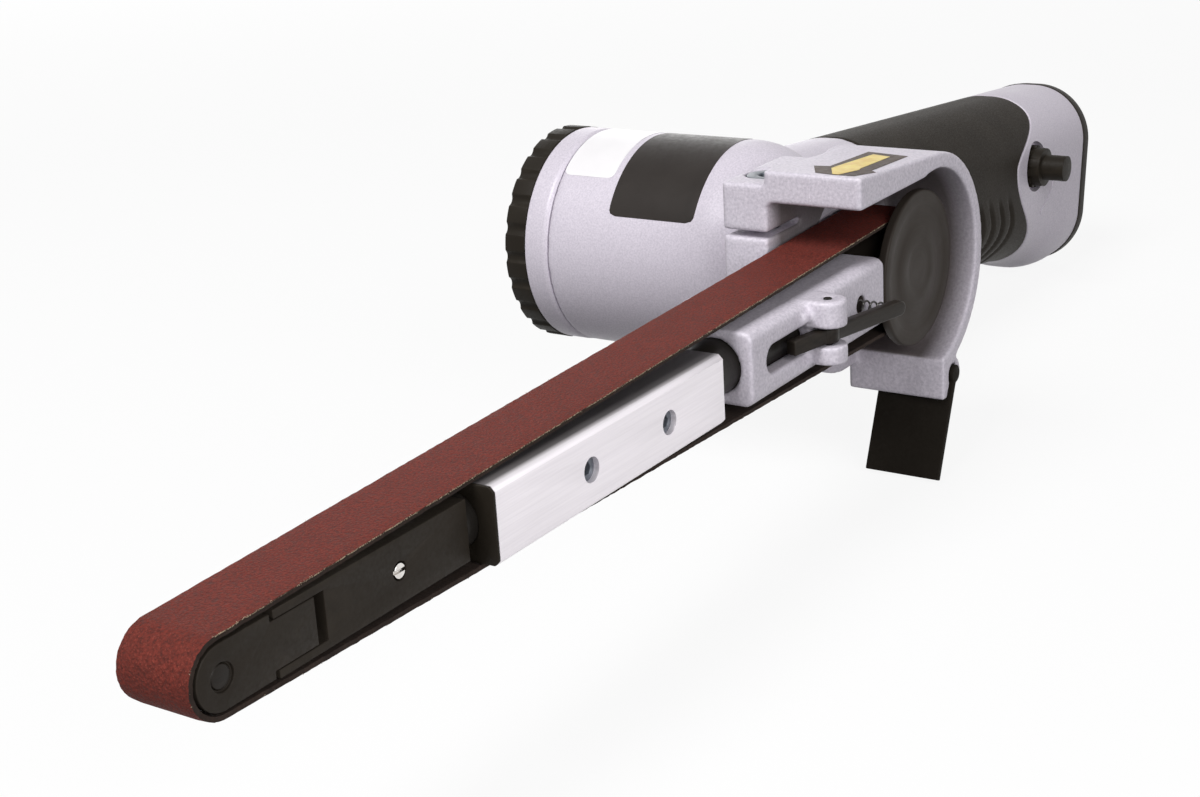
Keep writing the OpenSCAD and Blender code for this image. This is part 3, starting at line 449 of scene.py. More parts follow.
def dress(tree, shader, colour, pattern, rough, height, bump, depth):
    # colour, a roughness that follows a pattern, and bump with its depth in mm
    relief = tree.nodes.new("ShaderNodeBump")
    setSockets(relief.inputs, dict(Strength=bump, Distance=depth * mm))
    tree.links.new(height, relief.inputs["Height"])
    tree.links.new(colour, shader.inputs["Base Color"])
    tree.links.new(rangeNode(tree, pattern, *noiseSpan, *rough), shader.inputs["Roughness"])
    tree.links.new(relief.outputs["Normal"], shader.inputs["Normal"])


def makePainted(name, base, dark, rubbed, grain, rough, depth, dustAndShade=False):
    # sprayed lacquer with a fine fleck
    f = paintForm
    coat = dict(Coat_Weight=0.03, Coat_Roughness=0.3)
    mat, tree, shader = startMaterial(name, Metallic=0.05, Specular_IOR_Level=0.25, **coat)
    grains = placeGroup(tree, fineGrain, Scale=grain, Drift_Scale=f["drift"])
    curveMasks = placeGroup(tree, edgeRubAndHollows, Break_Scale=f["breaks"])
    colour = mixColor(tree, rangeNode(tree, grains["Grain"], *noiseSpan), dark, base)
    # darker in the hollows, from the mesh's curvature
    colour = mixColor(tree, product(tree, curveMasks["Hollows"], f["hollowShare"]), colour, scaled(base, f["hollowTone"]))
    colour = mixColor(tree, product(tree, curveMasks["Rubbed"], f["rub"]), colour, rubbed)
    if dustAndShade:
        # dust with painted shade inside the guard, and painted shade in the latch spring's hole
        colour = mixColor(tree, guardDustAndShade(tree, grains["Drift"]), colour, dustAndShadeForm["colour"])
    dress(tree, shader, colour, grains["Drift"], rough, grains["Grain"], f["bump"], depth)
    return mat


def makeMoulded(name, base, lift, grain, rough, depth, bump, specular):
    # moulded or coated: a matt skin with a fine spark texture
    f = mouldForm
    mat, tree, shader = startMaterial(name, Specular_IOR_Level=specular)
    grains = placeGroup(tree, fineGrain, Scale=grain, Drift_Scale=f["drift"])
    curveMasks = placeGroup(tree, edgeRubAndHollows, Break_Scale=f["breaks"])
    colour = mixColor(tree, rangeNode(tree, grains["Drift"], *f["driftSpan"]), base, lift)
    colour = mixColor(tree, product(tree, curveMasks["Rubbed"], f["rub"]), colour, scaled(lift, f["rubTone"]))
    dress(tree, shader, colour, grains["Grain"], rough, grains["Grain"], bump, depth)
    return mat


def makeMetal(name, base, dark, stretch, rough, depth=0.02, metallic=1.0, specular=0.35, shadowedAndDusty=False):
    # ground, brushed or blackened metal
    f = metalForm
    mat, tree, shader = startMaterial(name, Metallic=metallic, Specular_IOR_Level=specular)
    stroke = placeGroup(tree, brushStroke, Stretch=stretch)["Stroke"]
    grains = placeGroup(tree, fineGrain, Scale=f["grain"], Drift_Scale=f["drift"])
    curveMasks = placeGroup(tree, edgeRubAndHollows, Break_Scale=f["breaks"])
    colour = mixColor(tree, rangeNode(tree, stroke, *noiseSpan), dark, base)
    # darker in the hollows, from the mesh's curvature
    colour = mixColor(tree, product(tree, curveMasks["Hollows"], f["hollowShare"]), colour, scaled(dark, f["hollowTone"]))
    if shadowedAndDusty:
        # painted shadow of the belt, with black dust, on the bar's top face
        colour = mixColor(tree, beltShadowAndDust(tree), colour, barShadowAndDust["colour"])
    dress(tree, shader, colour, grains["Drift"], rough, stroke, f["bump"], depth)
    return mat


def makeTurned(name, base, dark, rings, rough):
    # turned face: rings round the drive shaft
    f = turnedForm
    mat, tree, shader = startMaterial(name, Metallic=0.1, Specular_IOR_Level=0.14)
    spread = tree.nodes.new("ShaderNodeCombineXYZ")
    tree.links.new(product(tree, placesFrom(tree, driveAxis)["r"], rings), spread.inputs["X"])
    ringNoise = noiseNode(tree, spread.outputs["Vector"], 1.0, detail=2, rough=0.5)
    grains = placeGroup(tree, fineGrain, Scale=f["grain"], Drift_Scale=f["drift"])
    colour = mixColor(tree, rangeNode(tree, ringNoise, *noiseSpan), dark, base)
    dress(tree, shader, colour, grains["Drift"], rough, ringNoise, f["bump"], f["depth"])
    return mat


def makeAbrasive():
    f = abrasiveForm
    mat, tree, shader = startMaterial("redGrain", Specular_IOR_Level=0.15)
    place = objectPlace(tree)
    coarse = noiseNode(tree, place, f["coarse"], detail=4, rough=0.75)
    patch = noiseNode(tree, place, f["patch"], detail=4, rough=0.65)
    voronoi = tree.nodes.new("ShaderNodeTexVoronoi")
    voronoi.inputs["Scale"].default_value = f["cells"]
    tree.links.new(place, voronoi.inputs["Vector"])
    cells = voronoi.outputs["Distance"]
    colour = mixColor(tree, rangeNode(tree, coarse, *f["coarseSpan"]), f["deep"], f["bright"])
    colour = mixColor(tree, rangeNode(tree, patch, *f["patchSpan"]), colour, f["worn"])
    colour = mixColor(tree, rangeNode(tree, cells, *f["cellSpan"]), colour, f["glint"])
    height = mathNode(tree, "ADD", coarse, product(tree, cells, f["pits"]))
    dress(tree, shader, colour, coarse, f["rough"], height, f["bump"], f["depth"])
    return mat


def makeCloth(name, base, dark):
    f = clothForm
    mat, tree, shader = startMaterial(name, Specular_IOR_Level=0.2)
    across, along = (placeGroup(tree, brushStroke, Stretch=f[way])["Stroke"] for way in ("across", "along"))
    weave = product(tree, across, along)
    fuzz = noiseNode(tree, objectPlace(tree), f["fuzz"])
    colour = mixColor(tree, rangeNode(tree, weave, *f["weaveSpan"]), dark, base)
    dress(tree, shader, colour, fuzz, f["rough"], weave, f["bump"], f["depth"])
    return mat


def makeFrayed(name, base, thread):
    # cut edge of the belt: dark cloth with broken pale thread ends
    f = frayForm
    mat, tree, shader = startMaterial(name, Specular_IOR_Level=0.15)
    grains = placeGroup(tree, fineGrain, Scale=f["grain"], Drift_Scale=f["drift"])
    runs = rangeNode(tree, grains["Drift"], *f["runs"])
    ends = product(tree, rangeNode(tree, grains["Grain"], *f["ends"]), runs)
    colour = mixColor(tree, ends, base, thread)
    dress(tree, shader, colour, grains["Grain"], f["rough"], grains["Grain"], f["bump"], f["depth"])
    return mat


silverPaint = makePainted("silverPaint", (0.685, 0.635, 0.71), (0.54, 0.50, 0.57), (0.72, 0.70, 0.73),
                          grain=2600, rough=(0.36, 0.52), depth=0.06)
guardPaint = makePainted("guardPaint", (0.68, 0.635, 0.705), (0.505, 0.47, 0.535), (0.74, 0.71, 0.74),
                         grain=1700, rough=(0.4, 0.58), depth=0.12, dustAndShade=True)
gripRubber = makeMoulded("gripRubber", (0.0140, 0.0108, 0.0078), (0.0205, 0.0164, 0.0124),
                         grain=2400, rough=(0.5, 0.68), depth=0.08, bump=0.5, specular=0.1)
flapRubber = makeMoulded("flapRubber", (0.0105, 0.0084, 0.0062), (0.0150, 0.0122, 0.0093),
                         grain=1200, rough=(0.6, 0.8), depth=0.06, bump=0.4, specular=0.07)
blackPlastic = makeMoulded("blackPlastic", (0.0120, 0.0094, 0.0066), (0.0175, 0.0140, 0.0102),
                           grain=1800, rough=(0.42, 0.6), depth=0.05, bump=0.35, specular=0.1)
blackSteel = makeMoulded("blackSteel", (0.0185, 0.0145, 0.0108), (0.0260, 0.0208, 0.0160),
                         grain=1500, rough=(0.45, 0.62), depth=0.04, bump=0.35, specular=0.12)
vaneFibre = makeMoulded("vaneFibre", (0.20, 0.12, 0.05), (0.27, 0.17, 0.08),
                        grain=1500, rough=(0.5, 0.7), depth=0.06, bump=0.4, specular=0.3)
rodSteel = makeMetal("rodSteel", (0.017, 0.0145, 0.0125), (0.010, 0.0085, 0.0072),
                     (2500, 200, 200), rough=(0.3, 0.45), metallic=0.05, specular=0.2)
leverSteel = makeMetal("leverSteel", (0.021, 0.0165, 0.0130), (0.012, 0.0094, 0.0074),
                       (160, 1800, 1800), rough=(0.3, 0.48), depth=0.03, metallic=0.08, specular=0.16)
brightBar = makeMetal("brightBar", (0.93, 0.885, 0.925), (0.86, 0.815, 0.855),
                      (60, 2600, 2600), rough=(0.34, 0.46), metallic=0.6, shadowedAndDusty=True)
groundSteel = makeMetal("groundSteel", (0.58, 0.58, 0.60), (0.42, 0.42, 0.44),
                        (1800, 1800, 200), rough=(0.25, 0.4))
clampSteel = makeMetal("clampSteel", (0.15, 0.165, 0.19), (0.085, 0.095, 0.11),
                       (1500, 1500, 300), rough=(0.35, 0.5), metallic=0.5)
screwSteel = makeMetal("screwSteel", (0.82, 0.80, 0.78), (0.66, 0.62, 0.58),
                       (1800, 1800, 200), rough=(0.2, 0.32))
springWire = makeMetal("springWire", (0.60, 0.60, 0.62), (0.38, 0.38, 0.40),
                       (900, 900, 900), rough=(0.2, 0.35))
darkWire = makeMetal("darkWire", (0.075, 0.070, 0.066), (0.035, 0.032, 0.030),
                     (900, 900, 900), rough=(0.22, 0.36), metallic=0.6)
turnedBrass = makeMetal("turnedBrass", (0.42, 0.36, 0.22), (0.26, 0.22, 0.13),
                        (1500, 300, 1500), rough=(0.3, 0.48), metallic=0.5)
bushBronze = makeMetal("bushBronze", (0.36, 0.24, 0.12), (0.24, 0.16, 0.08),
                       (1500, 300, 1500), rough=(0.35, 0.5))
pulleySteel = makeTurned("pulleySteel", (0.035, 0.0275, 0.0222), (0.025, 0.0198, 0.0160),
                         rings=2600, rough=(0.45, 0.6))
redGrain = makeAbrasive()
beltCloth = makeCloth("beltCloth", (0.040, 0.026, 0.020), (0.016, 0.011, 0.009))
frayedEdge = makeFrayed("frayedEdge", (0.040, 0.020, 0.014), (0.46, 0.37, 0.25))
paleThread = makeCloth("paleThread", (0.58, 0.49, 0.35), (0.34, 0.26, 0.18))
film = dict(grain=900, depth=0.01, bump=0.2)
blankLabel = makeMoulded("blankLabel", (0.80, 0.785, 0.80), (0.85, 0.835, 0.85),
                         rough=(0.3, 0.42), specular=0.4, **film)
darkLabel = makeMoulded("darkLabel", (0.020, 0.0160, 0.0140), (0.027, 0.0222, 0.0198),
                        rough=(0.34, 0.46), specular=0.14, **film)
signYellow = makeMoulded("signYellow", (0.66, 0.47, 0.13), (0.72, 0.53, 0.17),
                         rough=(0.4, 0.55), specular=0.3, **film)
signBrown = makeMoulded("signBrown", (0.050, 0.036, 0.030), (0.066, 0.049, 0.041),
                        rough=(0.45, 0.6), specular=0.1, **film)
print("finishes made:", len(bpy.data.materials))


# handle: a run of rounded sections along a drooping axis (u back along it, v to the open side, w up)

handleForm = dict(droop=8.0, back=36.0, corner=15.5, cornerSteps=20, sideSteps=14, topSteps=4, tailU=172.5,
                  ease=7.0, easeSteps=4,
                  stations=((16.0, 19.0, 19.0, 16.5), (142.0, 26.4, 18.9, 17.0),
                            (160.5, 27.5, 24.0, 17.05), (172.5, 28.2, 22.2, 17.1)))
gripForm = dict(frontU=47.0, bow=19.0, bowHeight=33.0, bowMid=14.0, waveU=124.6, waveDepth=17.2, waveMid=8.6,
                waveRise=14.5, waveFall=27.5, thick=2.5, lip=0.8, lipSteps=5, gap=0.12, rows=110, ridges=4,
                ridgeU=123.0, ridgePitch=6.5, ridgeMid=-7.0, ridgeBow=0.055, ridgeDepth=0.75, ridgeHalf=1.5,
                ridgeTop=3.0, ridgeFade=5.0, ridgeLow=-14.0)
shellForm = dict(lip=0.5, lipSteps=4, deep=2.2)


def onHandle(u, v, w):
    d = radians(handleForm["droop"])
    return at(-u * cos(d) - w * sin(d), -handleForm["back"] + v, -u * sin(d) + w * cos(d))


def handleSection(u):
    # height above and below the axis, and half width, eased round the heel
    f = handleForm
    rows, steps = f["stations"], f["easeSteps"]

    def straight(place):
        for a, b in zip(rows, rows[1:]):
            if place <= b[0] or b is rows[-1]:
                t = (place - a[0]) / (b[0] - a[0])
                return [between(pair, t) for pair in zip(a[1:], b[1:])]

    spread = min(f["ease"], max(0.0, f["tailU"] - u), max(0.0, u - rows[0][0]))
    samples = [straight(u + spread * k / steps) for k in range(-steps, steps + 1)]
    return tuple(sum(column) / len(samples) for column in zip(*samples))


def rimPlaces():
    # stations round the section: each is a corner with its angle, or a share of the flat after that corner
    f = handleForm
    out = []
    for corner in range(4):
        out += [(corner, pi / 2 * (corner + i / f["cornerSteps"]), 0.0) for i in range(f["cornerSteps"])]
        flat = f["topSteps"] if corner % 2 == 0 else f["sideSteps"]
        out += [(corner, pi / 2 * (corner + 1), i / flat) for i in range(flat)]
    return out


rim = rimPlaces()


def handleRim(u, place, inset=0.0):
    top, low, half = (value - inset for value in handleSection(u))
    r = handleForm["corner"] - inset
    centres = [(half - r, top - r), (r - half, top - r), (r - half, r - low), (half - r, r - low)]
    corner, angle, share = place
    (v, w), (nextV, nextW) = centres[corner], centres[(corner + 1) % 4]
    return v + (nextV - v) * share + r * cos(angle), w + (nextW - w) * share + r * sin(angle)


def sideDepth(u, w):
    # half width of the handle at a height on its side
    top, low, half = handleSection(u)
    r = handleForm["corner"]
    past = max(0.0, w - (top - r), (r - low) - w)
    return half - r + sqrt(max(0.0, r * r - past * past))


def rearEdge(place):
    g = gripForm
    above = handleRim(g["waveU"], place)[1] - g["waveMid"]
    away = above / g["waveRise"] if above > 0 else -above / g["waveFall"]
    return g["waveU"] + g["waveDepth"] * (1 - cos(pi * min(1.0, away))) / 2


def frontEdge(place):
    g = gripForm
    above = handleRim(g["frontU"], place)[1] - g["bowMid"]
    return g["frontU"] + g["bow"] * (above / g["bowHeight"]) ** 2


def ridgeDip(u, w):
    # finger grooves low on the grip's sides and underneath
    g = gripForm
    under = min(1.0, max(0.0, (g["ridgeTop"] - w) / g["ridgeFade"]))
    under = under * under * (3 - 2 * under)
    bow = g["ridgeBow"] * (max(w, g["ridgeLow"]) - g["ridgeMid"]) ** 2
    dip = 0.0
    for i in range(g["ridges"]):
        near = abs(u - (g["ridgeU"] - i * g["ridgePitch"] - bow)) / g["ridgeHalf"]
        if near < 1:
            dip = max(dip, (1 - near * near) ** 2)
    return g["ridgeDepth"] * dip * under


def makeGrip():
    g = gripForm
    gap, lip = g["gap"], quarterRound(g["lip"], g["lipSteps"])
    # each ring: share of the way from front edge to rear edge, shift in mm, inset in mm
    rings = [(0.0, gap, g["thick"])]
    rings += [(0.0, gap + shift, inset) for shift, inset in lip]
    rings += [(i / g["rows"], 0.0, 0.0) for i in range(1, g["rows"])]
    rings += [(1.0, -gap - shift, inset) for shift, inset in reversed(lip)]
    rings.append((1.0, -gap, g["thick"]))
    verts = []
    for share, shift, inset in rings:
        for place in rim:
            front, rear = frontEdge(place), rearEdge(place)
            if share in (0.0, 1.0):
                u = (rear if share else front) + shift
            else:
                u = between((front + gap + g["lip"], rear - gap - g["lip"]), share)
            v, w = handleRim(u, place, inset)
            dip = ridgeDip(u, w) if inset < g["thick"] else 0.0
            length = hypot(v, w)
            verts.append(onHandle(u, v - v / length * dip, w - w / length * dip))
    faces = gridFaces(len(rings), len(rim), wrapRows=True)
    outward(newPiece("gripSleeve", verts, faces, "tool_body", [gripRubber],
                     sharp=50, replaced=("handle_grip",)))


def handleShell(start, end, rows, lipped=False, inset=0.0):
    # a closed length of the handle; each end is a place along it or a function of the place round it
    sides = len(rim)
    lip = shellForm["lip"] if lipped else 0.0
    rings = [(0.0, 0.0, inset)]
    if lipped:
        rings = [(0.0, 0.0, shellForm["deep"])]
        rings += [(0.0, shift, drawn) for shift, drawn in quarterRound(lip, shellForm["lipSteps"])]
    rings += [(i / rows, 0.0, inset) for i in range(1, rows + 1)]
    verts = []
    for share, shift, drawn in rings:
        for place in rim:
            a, b = (edge(place) if callable(edge) else edge for edge in (start, end))
            u = a + shift if share == 0.0 else between((a + lip, b), share)
            verts.append(onHandle(u, *handleRim(u, place, drawn)))
    faces = gridFaces(len(rings), sides)
    first = len(verts)
    last = first - sides
    verts += [sum(ring, Vector()) / sides for ring in (verts[:sides], verts[last:])]
    for k in range(sides):
        after = (k + 1) % sides
        faces += [(first, after, k), (first + 1, last + k, last + after)]
    return verts, faces


barrelForm = dict(radius=23.7, shoulder=19.5, front=-18.8, taper=8.0, nose=16.0, noseFace=-8.4, bore=3.0,
                  end=-67.7, sides=128, voxel=0.6, rounds=10, factor=0.5, neckU=10.0, neckRows=40)
bandForm = dict(gap=0.1, inset=0.35, lead=0.9, proud=0.12, back=-73.5)
coreForm = dict(start=30.0, end=150.0, rows=20, under=0.3, tailRows=44)
knobSeat = dict(u=137.5, w=8.5, radius=6.8, depth=2.6, past=6.0, sides=64)


def silverPiece(name, verts, faces):
    return newPiece(name, verts, faces, "tool_body", [silverPaint], sharp=50)


def makeHousing():
    # front part: barrel and neck run into each other with a cast fillet
    f, b, c = barrelForm, bandForm, coreForm
    r, bore = f["radius"], f["bore"]
    barrel = [(bore, f["noseFace"], 0), (f["nose"], f["noseFace"], 0.8), (f["nose"], f["front"], 0.6),
              (f["shoulder"], f["front"], 1.5), (r, f["front"] - f["taper"], 6.0), (r, f["end"], 0.3),
              (bore, f["end"], 0)]
    verts, faces = latheMesh(roundedProfile(barrel), f["sides"])
    neckVerts, neckFaces = handleShell(f["neckU"], frontEdge, f["neckRows"])
    faces += shifted(neckFaces, len(verts))
    replaced = ("motor_housing", "handle_casing")
    castCopy("motorBarrel", verts + neckVerts, faces, f, "tool_body", silverPaint, replaced)
    # band behind the groove, under the scalloped ring
    groove, wide = f["end"] - b["gap"], r + b["proud"]
    band = [(bore, groove, 0), (r - b["inset"], groove, 0.2), (wide, f["end"] - b["lead"], 0.5),
            (wide, b["back"], 0.3), (bore, b["back"], 0)]
    outward(silverPiece("barrelBand", *latheMesh(roundedProfile(band), f["sides"])))
    tail = handleShell(rearEdge, handleForm["tailU"], c["tailRows"], lipped=True)
    cutRecess(silverPiece("handleTail", *tail))
    core = handleShell(c["start"], c["end"], c["rows"], inset=gripForm["thick"] - c["under"])
    outward(silverPiece("handleCore", *core))


def cutRecess(piece):
    # round seat of the air regulator, sunk into the near side
    k = knobSeat
    side = handleSection(k["u"])[2]
    verts = [onHandle(k["u"] + k["radius"] * c, v, k["w"] + k["radius"] * s)
             for v in (side - k["depth"], side + k["past"]) for c, s in circle(k["sides"])]
    tool = placed("recessTool", meshOf("recessTool", verts, cappedFaces(2, k["sides"])))
    outward(tool)
    cut = piece.modifiers.new("recess", "BOOLEAN")
    cut.operation = "DIFFERENCE"
    cut.solver = "EXACT"
    cut.object = tool
    smoothBy(applied(piece), crease)
    bpy.data.objects.remove(tool)


makeHousing()
makeGrip()
print("motor and handle made")


# guard: the CAD casting with soft edges

guardForm = dict(voxel=0.42, rounds=5, factor=0.5)
castCopy("guardCasting", *welded("belt_guard"), guardForm, "belt_guard", guardPaint, ("belt_guard",))
print("guard made")


# belt: a loop with an abrasive face, a cloth back and frayed edges

beltForm = dict(half=6.35, thick=0.9, driveIn=11.2, noseIn=5.0, noseX=201.544, columns=9, runSteps=200,
                noseSteps=40, driveSteps=56, faceEdge=0.12, backEdge=0.05, fray=0.16, frayStep=0.7,
                fineStep=2.3, frayDeep=0.3)
threadForm = dict(seed=7, count=420, upperShare=0.55, slant=0.9, length=(0.2, 0.7), width=(0.025, 0.055),
                  lift=(-0.25, 0.2), stray=(0.25, 0.6), bow=0.12, sink=0.2, inset=0.15, taper=(1.0, 0.9, 0.5))


def loopRun(offset):
    # points and outward normals round the loop
    b = beltForm
    drive, nose = b["driveIn"] + offset, b["noseIn"] + offset
    tilt = asin((b["driveIn"] - b["noseIn"]) / b["noseX"])
    hub, tip = Vector((0, 0)), Vector((b["noseX"], 0))

    def run(n, start, end):
        return [(start.lerp(end, i / b["runSteps"]), n) for i in range(b["runSteps"])]

    def bend(centre, radius, first, sweep, steps):
        angles = [first - sweep * i / steps for i in range(steps)]
        normals = [Vector((cos(a), sin(a))) for a in angles]
        return [(centre + n * radius, n) for n in normals]

    up, down = (Vector((sin(tilt), way * cos(tilt))) for way in (1, -1))
    out = run(up, up * drive, tip + up * nose)
    out += bend(tip, nose, pi / 2 - tilt, pi - 2 * tilt, b["noseSteps"])
    out += run(down, tip + down * nose, down * drive)
    return out + bend(hub, drive, tilt - pi / 2, pi + 2 * tilt, b["driveSteps"])


def makeBelt():
    b = beltForm
    cols, half, fray = b["columns"], b["half"], b["fray"]
    ends = (0, cols - 1)
    inner, outer = loopRun(0.0), loopRun(b["thick"])
    verts = []

    def sunk(point, normal, y, depth):
        return at(point.x - normal.x * depth, y, point.y - normal.y * depth)

    for i, ((p, n), (q, m)) in enumerate(zip(inner, outer)):
        slow, fine = i * b["frayStep"], i * b["fineStep"]
        ys = [-half + 2 * half * k / (cols - 1) for k in range(cols)]
        ys[0] += fray * wave(slow, 9.0, 8.2)
        ys[-1] += fray * wave(slow, 0.0, 3.1) + 0.5 * fray * wave(fine, 5.0, 1.7)
        verts += [sunk(q, m, ys[k], b["faceEdge"] if k in ends else 0.0) for k in range(cols)]
        verts.append(sunk(q, m, ys[-1], b["frayDeep"]))
        verts += [sunk(p, n, ys[k], -b["backEdge"] if k in ends else 0.0) for k in reversed(range(cols))]
    size = 2 * cols + 1
    faces = gridFaces(len(inner), size, wrapRows=True)
    mats = [redGrain, beltCloth, frayedEdge]
    piece = newPiece("sandingBelt", verts, faces, "belt_guard", mats,
                     sharp=60, replaced=("abrasive_belt",))
    for face in piece.data.polygons:
        row, k = divmod(face.index, size)
        frayed = k == cols - 1 and row < b["runSteps"]  # near edge of the upper run
        face.material_index = 0 if k < cols - 1 else 2 if frayed else 1
    outward(piece)
    return outer


def makeThreads(outer):
    t = threadForm
    rng = random.Random(t["seed"])
    verts, faces = [], []
    for _ in range(t["count"]):
        worn = rng.random() < t["upperShare"]
        i = rng.randrange(beltForm["runSteps"] if worn else len(outer) - 1)
        (p, n), (nextP, _) = outer[i], outer[i + 1]
        up = Vector((n.x, 0, n.y))
        place = p.lerp(nextP, rng.random())
        side = 1 if worn or rng.random() < 0.5 else -1
        along = (nextP - p).normalized() * rng.uniform(-t["slant"], t["slant"])
        length = rng.uniform(*t["length"])
        width = rng.uniform(*t["width"])
        lift = rng.uniform(*t["lift"])
        root = Vector((place.x, side * (beltForm["half"] - t["inset"]), place.y)) - up * t["sink"]
        stray = side * length * rng.uniform(*t["stray"])
        tip = root + Vector((along.x * length, stray, along.y * length)) + up * lift
        mid = root.lerp(tip, 0.5) + up * rng.uniform(0.0, t["bow"])
        axis = (tip - root).normalized()
        across = axis.cross(up).normalized()
        over = axis.cross(across)
        faces += shifted(cappedFaces(3, 3), len(verts))
        for centre, size in zip((root, mid, tip), t["taper"]):
            verts += [at(*(centre + (across * c + over * s) * width * size)) for c, s in circle(3)]
    outward(newPiece("beltThreads", verts, faces, "belt_guard", [paleThread], sharp=180))


makeThreads(makeBelt())
print("belt made")


# flat signs: blank labels on the barrel and the belt's running arrow on the roof

labelForm = dict(lift=0.07, thick=0.06, corner=1.6, rows=28, columns=12,
                 blank=dict(y=(-67.2, -54.4), angle=(47.5, 104.0)),
                 dark=dict(y=(-52.8, -32.0), angle=(27.0, 106.0)))
arrowForm = dict(slope=4.3, rimTop=24.07, lift=0.09, step=0.06, thick=0.05,
                 edge=[(3.8, -0.2), (23.8, 1.3), (24.7, -1.7), (31.9, 2.3), (32.6, 6.8), (32.2, 10.6),
                       (26.4, 12.3), (25.1, 10.7), (5.8, 9.3)],
                 face=[(6.8, 2.3), (24.0, 2.6), (26.2, 2.8), (32.1, 6.0), (32.2, 7.4), (25.6, 8.4),
                       (24.0, 7.9), (8.2, 6.6)])


def thicken(piece, depth):
    solid = piece.modifiers.new("sheet", "SOLIDIFY")
    solid.thickness = depth * mm
    solid.offset = -1
    outward(piece)
    smoothBy(applied(piece), sharp=40)


def makeLabel(name, form, mat):
    f = labelForm
    r, corner, rows, cols = barrelForm["radius"] + f["lift"], f["corner"], f["rows"], f["columns"]
    (y0, y1), (a0, a1) = form["y"], form["angle"]
    halfY, halfA = (y1 - y0) / 2, radians(a1 - a0) * r / 2
    verts = []
    for i in range(rows + 1):
        for k in range(cols + 1):
            da, dy = (2 * i / rows - 1) * halfA, (2 * k / cols - 1) * halfY
            ex, ey = abs(da) - (halfA - corner), abs(dy) - (halfY - corner)
            if ex > 0 and ey > 0:  # draw the corners in to a round
                pull = max(ex, ey) / hypot(ex, ey)
                da = copysign(halfA - corner + ex * pull, da)
                dy = copysign(halfY - corner + ey * pull, dy)
            a = radians((a0 + a1) / 2) + da / r
            verts.append(at(r * cos(a), (y0 + y1) / 2 + dy, r * sin(a)))
    faces = gridFaces(rows + 1, cols + 1, wrapCols=False)
    thicken(newPiece(name, verts, faces, "tool_body", [mat], sharp=60), f["thick"])


def makeArrow(name, outline, lift, mat):
    f = arrowForm
    climb = tan(radians(f["slope"]))
    verts = [at(x, y, f["rimTop"] + x * climb + lift) for x, y in outline]
    face = tuple(range(len(outline)))
    piece = newPiece(name, verts, [face], "belt_guard", [mat], sharp=60)
    reworked(piece.data, bmesh.ops.triangulate)
    thicken(piece, f["thick"])


makeLabel("blankSticker", labelForm["blank"], blankLabel)
makeLabel("darkSticker", labelForm["dark"], darkLabel)
makeArrow("arrowEdge", arrowForm["edge"], arrowForm["lift"], signBrown)
makeArrow("arrowFace", arrowForm["face"], arrowForm["lift"] + arrowForm["step"], signYellow)

# flow mark: a raised wedge that widens round the air knob
flowMark = dict(radius=14.0, angles=(-17.0, -68.0), width=(0.3, 1.4), crown=0.7, rise=0.25, sink=0.4,
                steps=36)


def makeFlowMark():
    f = flowMark
    verts = []
    for i in range(f["steps"] + 1):
        t = i / f["steps"]
        a, half = radians(between(f["angles"], t)), between(f["width"], t) / 2
        crown = half * f["crown"]
        for reach, high in ((-half, -f["sink"]), (-crown, f["rise"]), (crown, f["rise"]), (half, -f["sink"])):
            u = knobSeat["u"] + (f["radius"] + reach) * cos(a)
            w = knobSeat["w"] + (f["radius"] + reach) * sin(a)
            verts.append(onHandle(u, sideDepth(u, w) + high, w))
    faces = cappedFaces(f["steps"] + 1, 4)
    outward(newPiece("flowMark", verts, faces, "tool_body", [silverPaint]))


makeFlowMark()

# casting seam down the front of the roof; its section is (share of half width, share of rise)
seamForm = dict(x=34.0, y=2.0, z=(20.7, 26.0), half=0.22, rise=0.1, sink=0.3, stray=0.16, steps=44,
                section=((-0.6, 0.7), (0.0, 1.0), (0.6, 0.5)), halfVaries=0.8, riseVaries=0.9,
                fade=6, fadeFrom=0.2)


def makeSeam():
    f = seamForm
    verts = []
    for i in range(f["steps"] + 1):
        t = i / f["steps"]
        y = f["y"] + f["stray"] * (wave(t * 9.0, 1.3, 0.4) + 0.5 * wave(t * 31.0, 4.1, 2.2))
        fade = min(1.0, f["fade"] * t + f["fadeFrom"], f["fade"] * (1 - t) + f["fadeFrom"])
        half = f["half"] * (1 + f["halfVaries"] * wave(t * 17.0, 7.7, 5.1)) * fade
        rise = f["rise"] * (1 + f["riseVaries"] * wave(t * 23.0, 2.9, 6.3))
        ridge = [(half * across, rise * up) for across, up in f["section"]]
        for reach, out in [(-half, -f["sink"])] + ridge + [(half, -f["sink"])]:
            verts.append(at(f["x"] + out, y + reach, between(f["z"], t)))
    faces = cappedFaces(f["steps"] + 1, len(f["section"]) + 2)
    outward(newPiece("castSeam", verts, faces, "belt_guard", [guardPaint], sharp=50))


makeSeam()
print("signs made")


# small pieces from the CAD with their edges broken: node, piece, bevel in mm, body, slot, finish

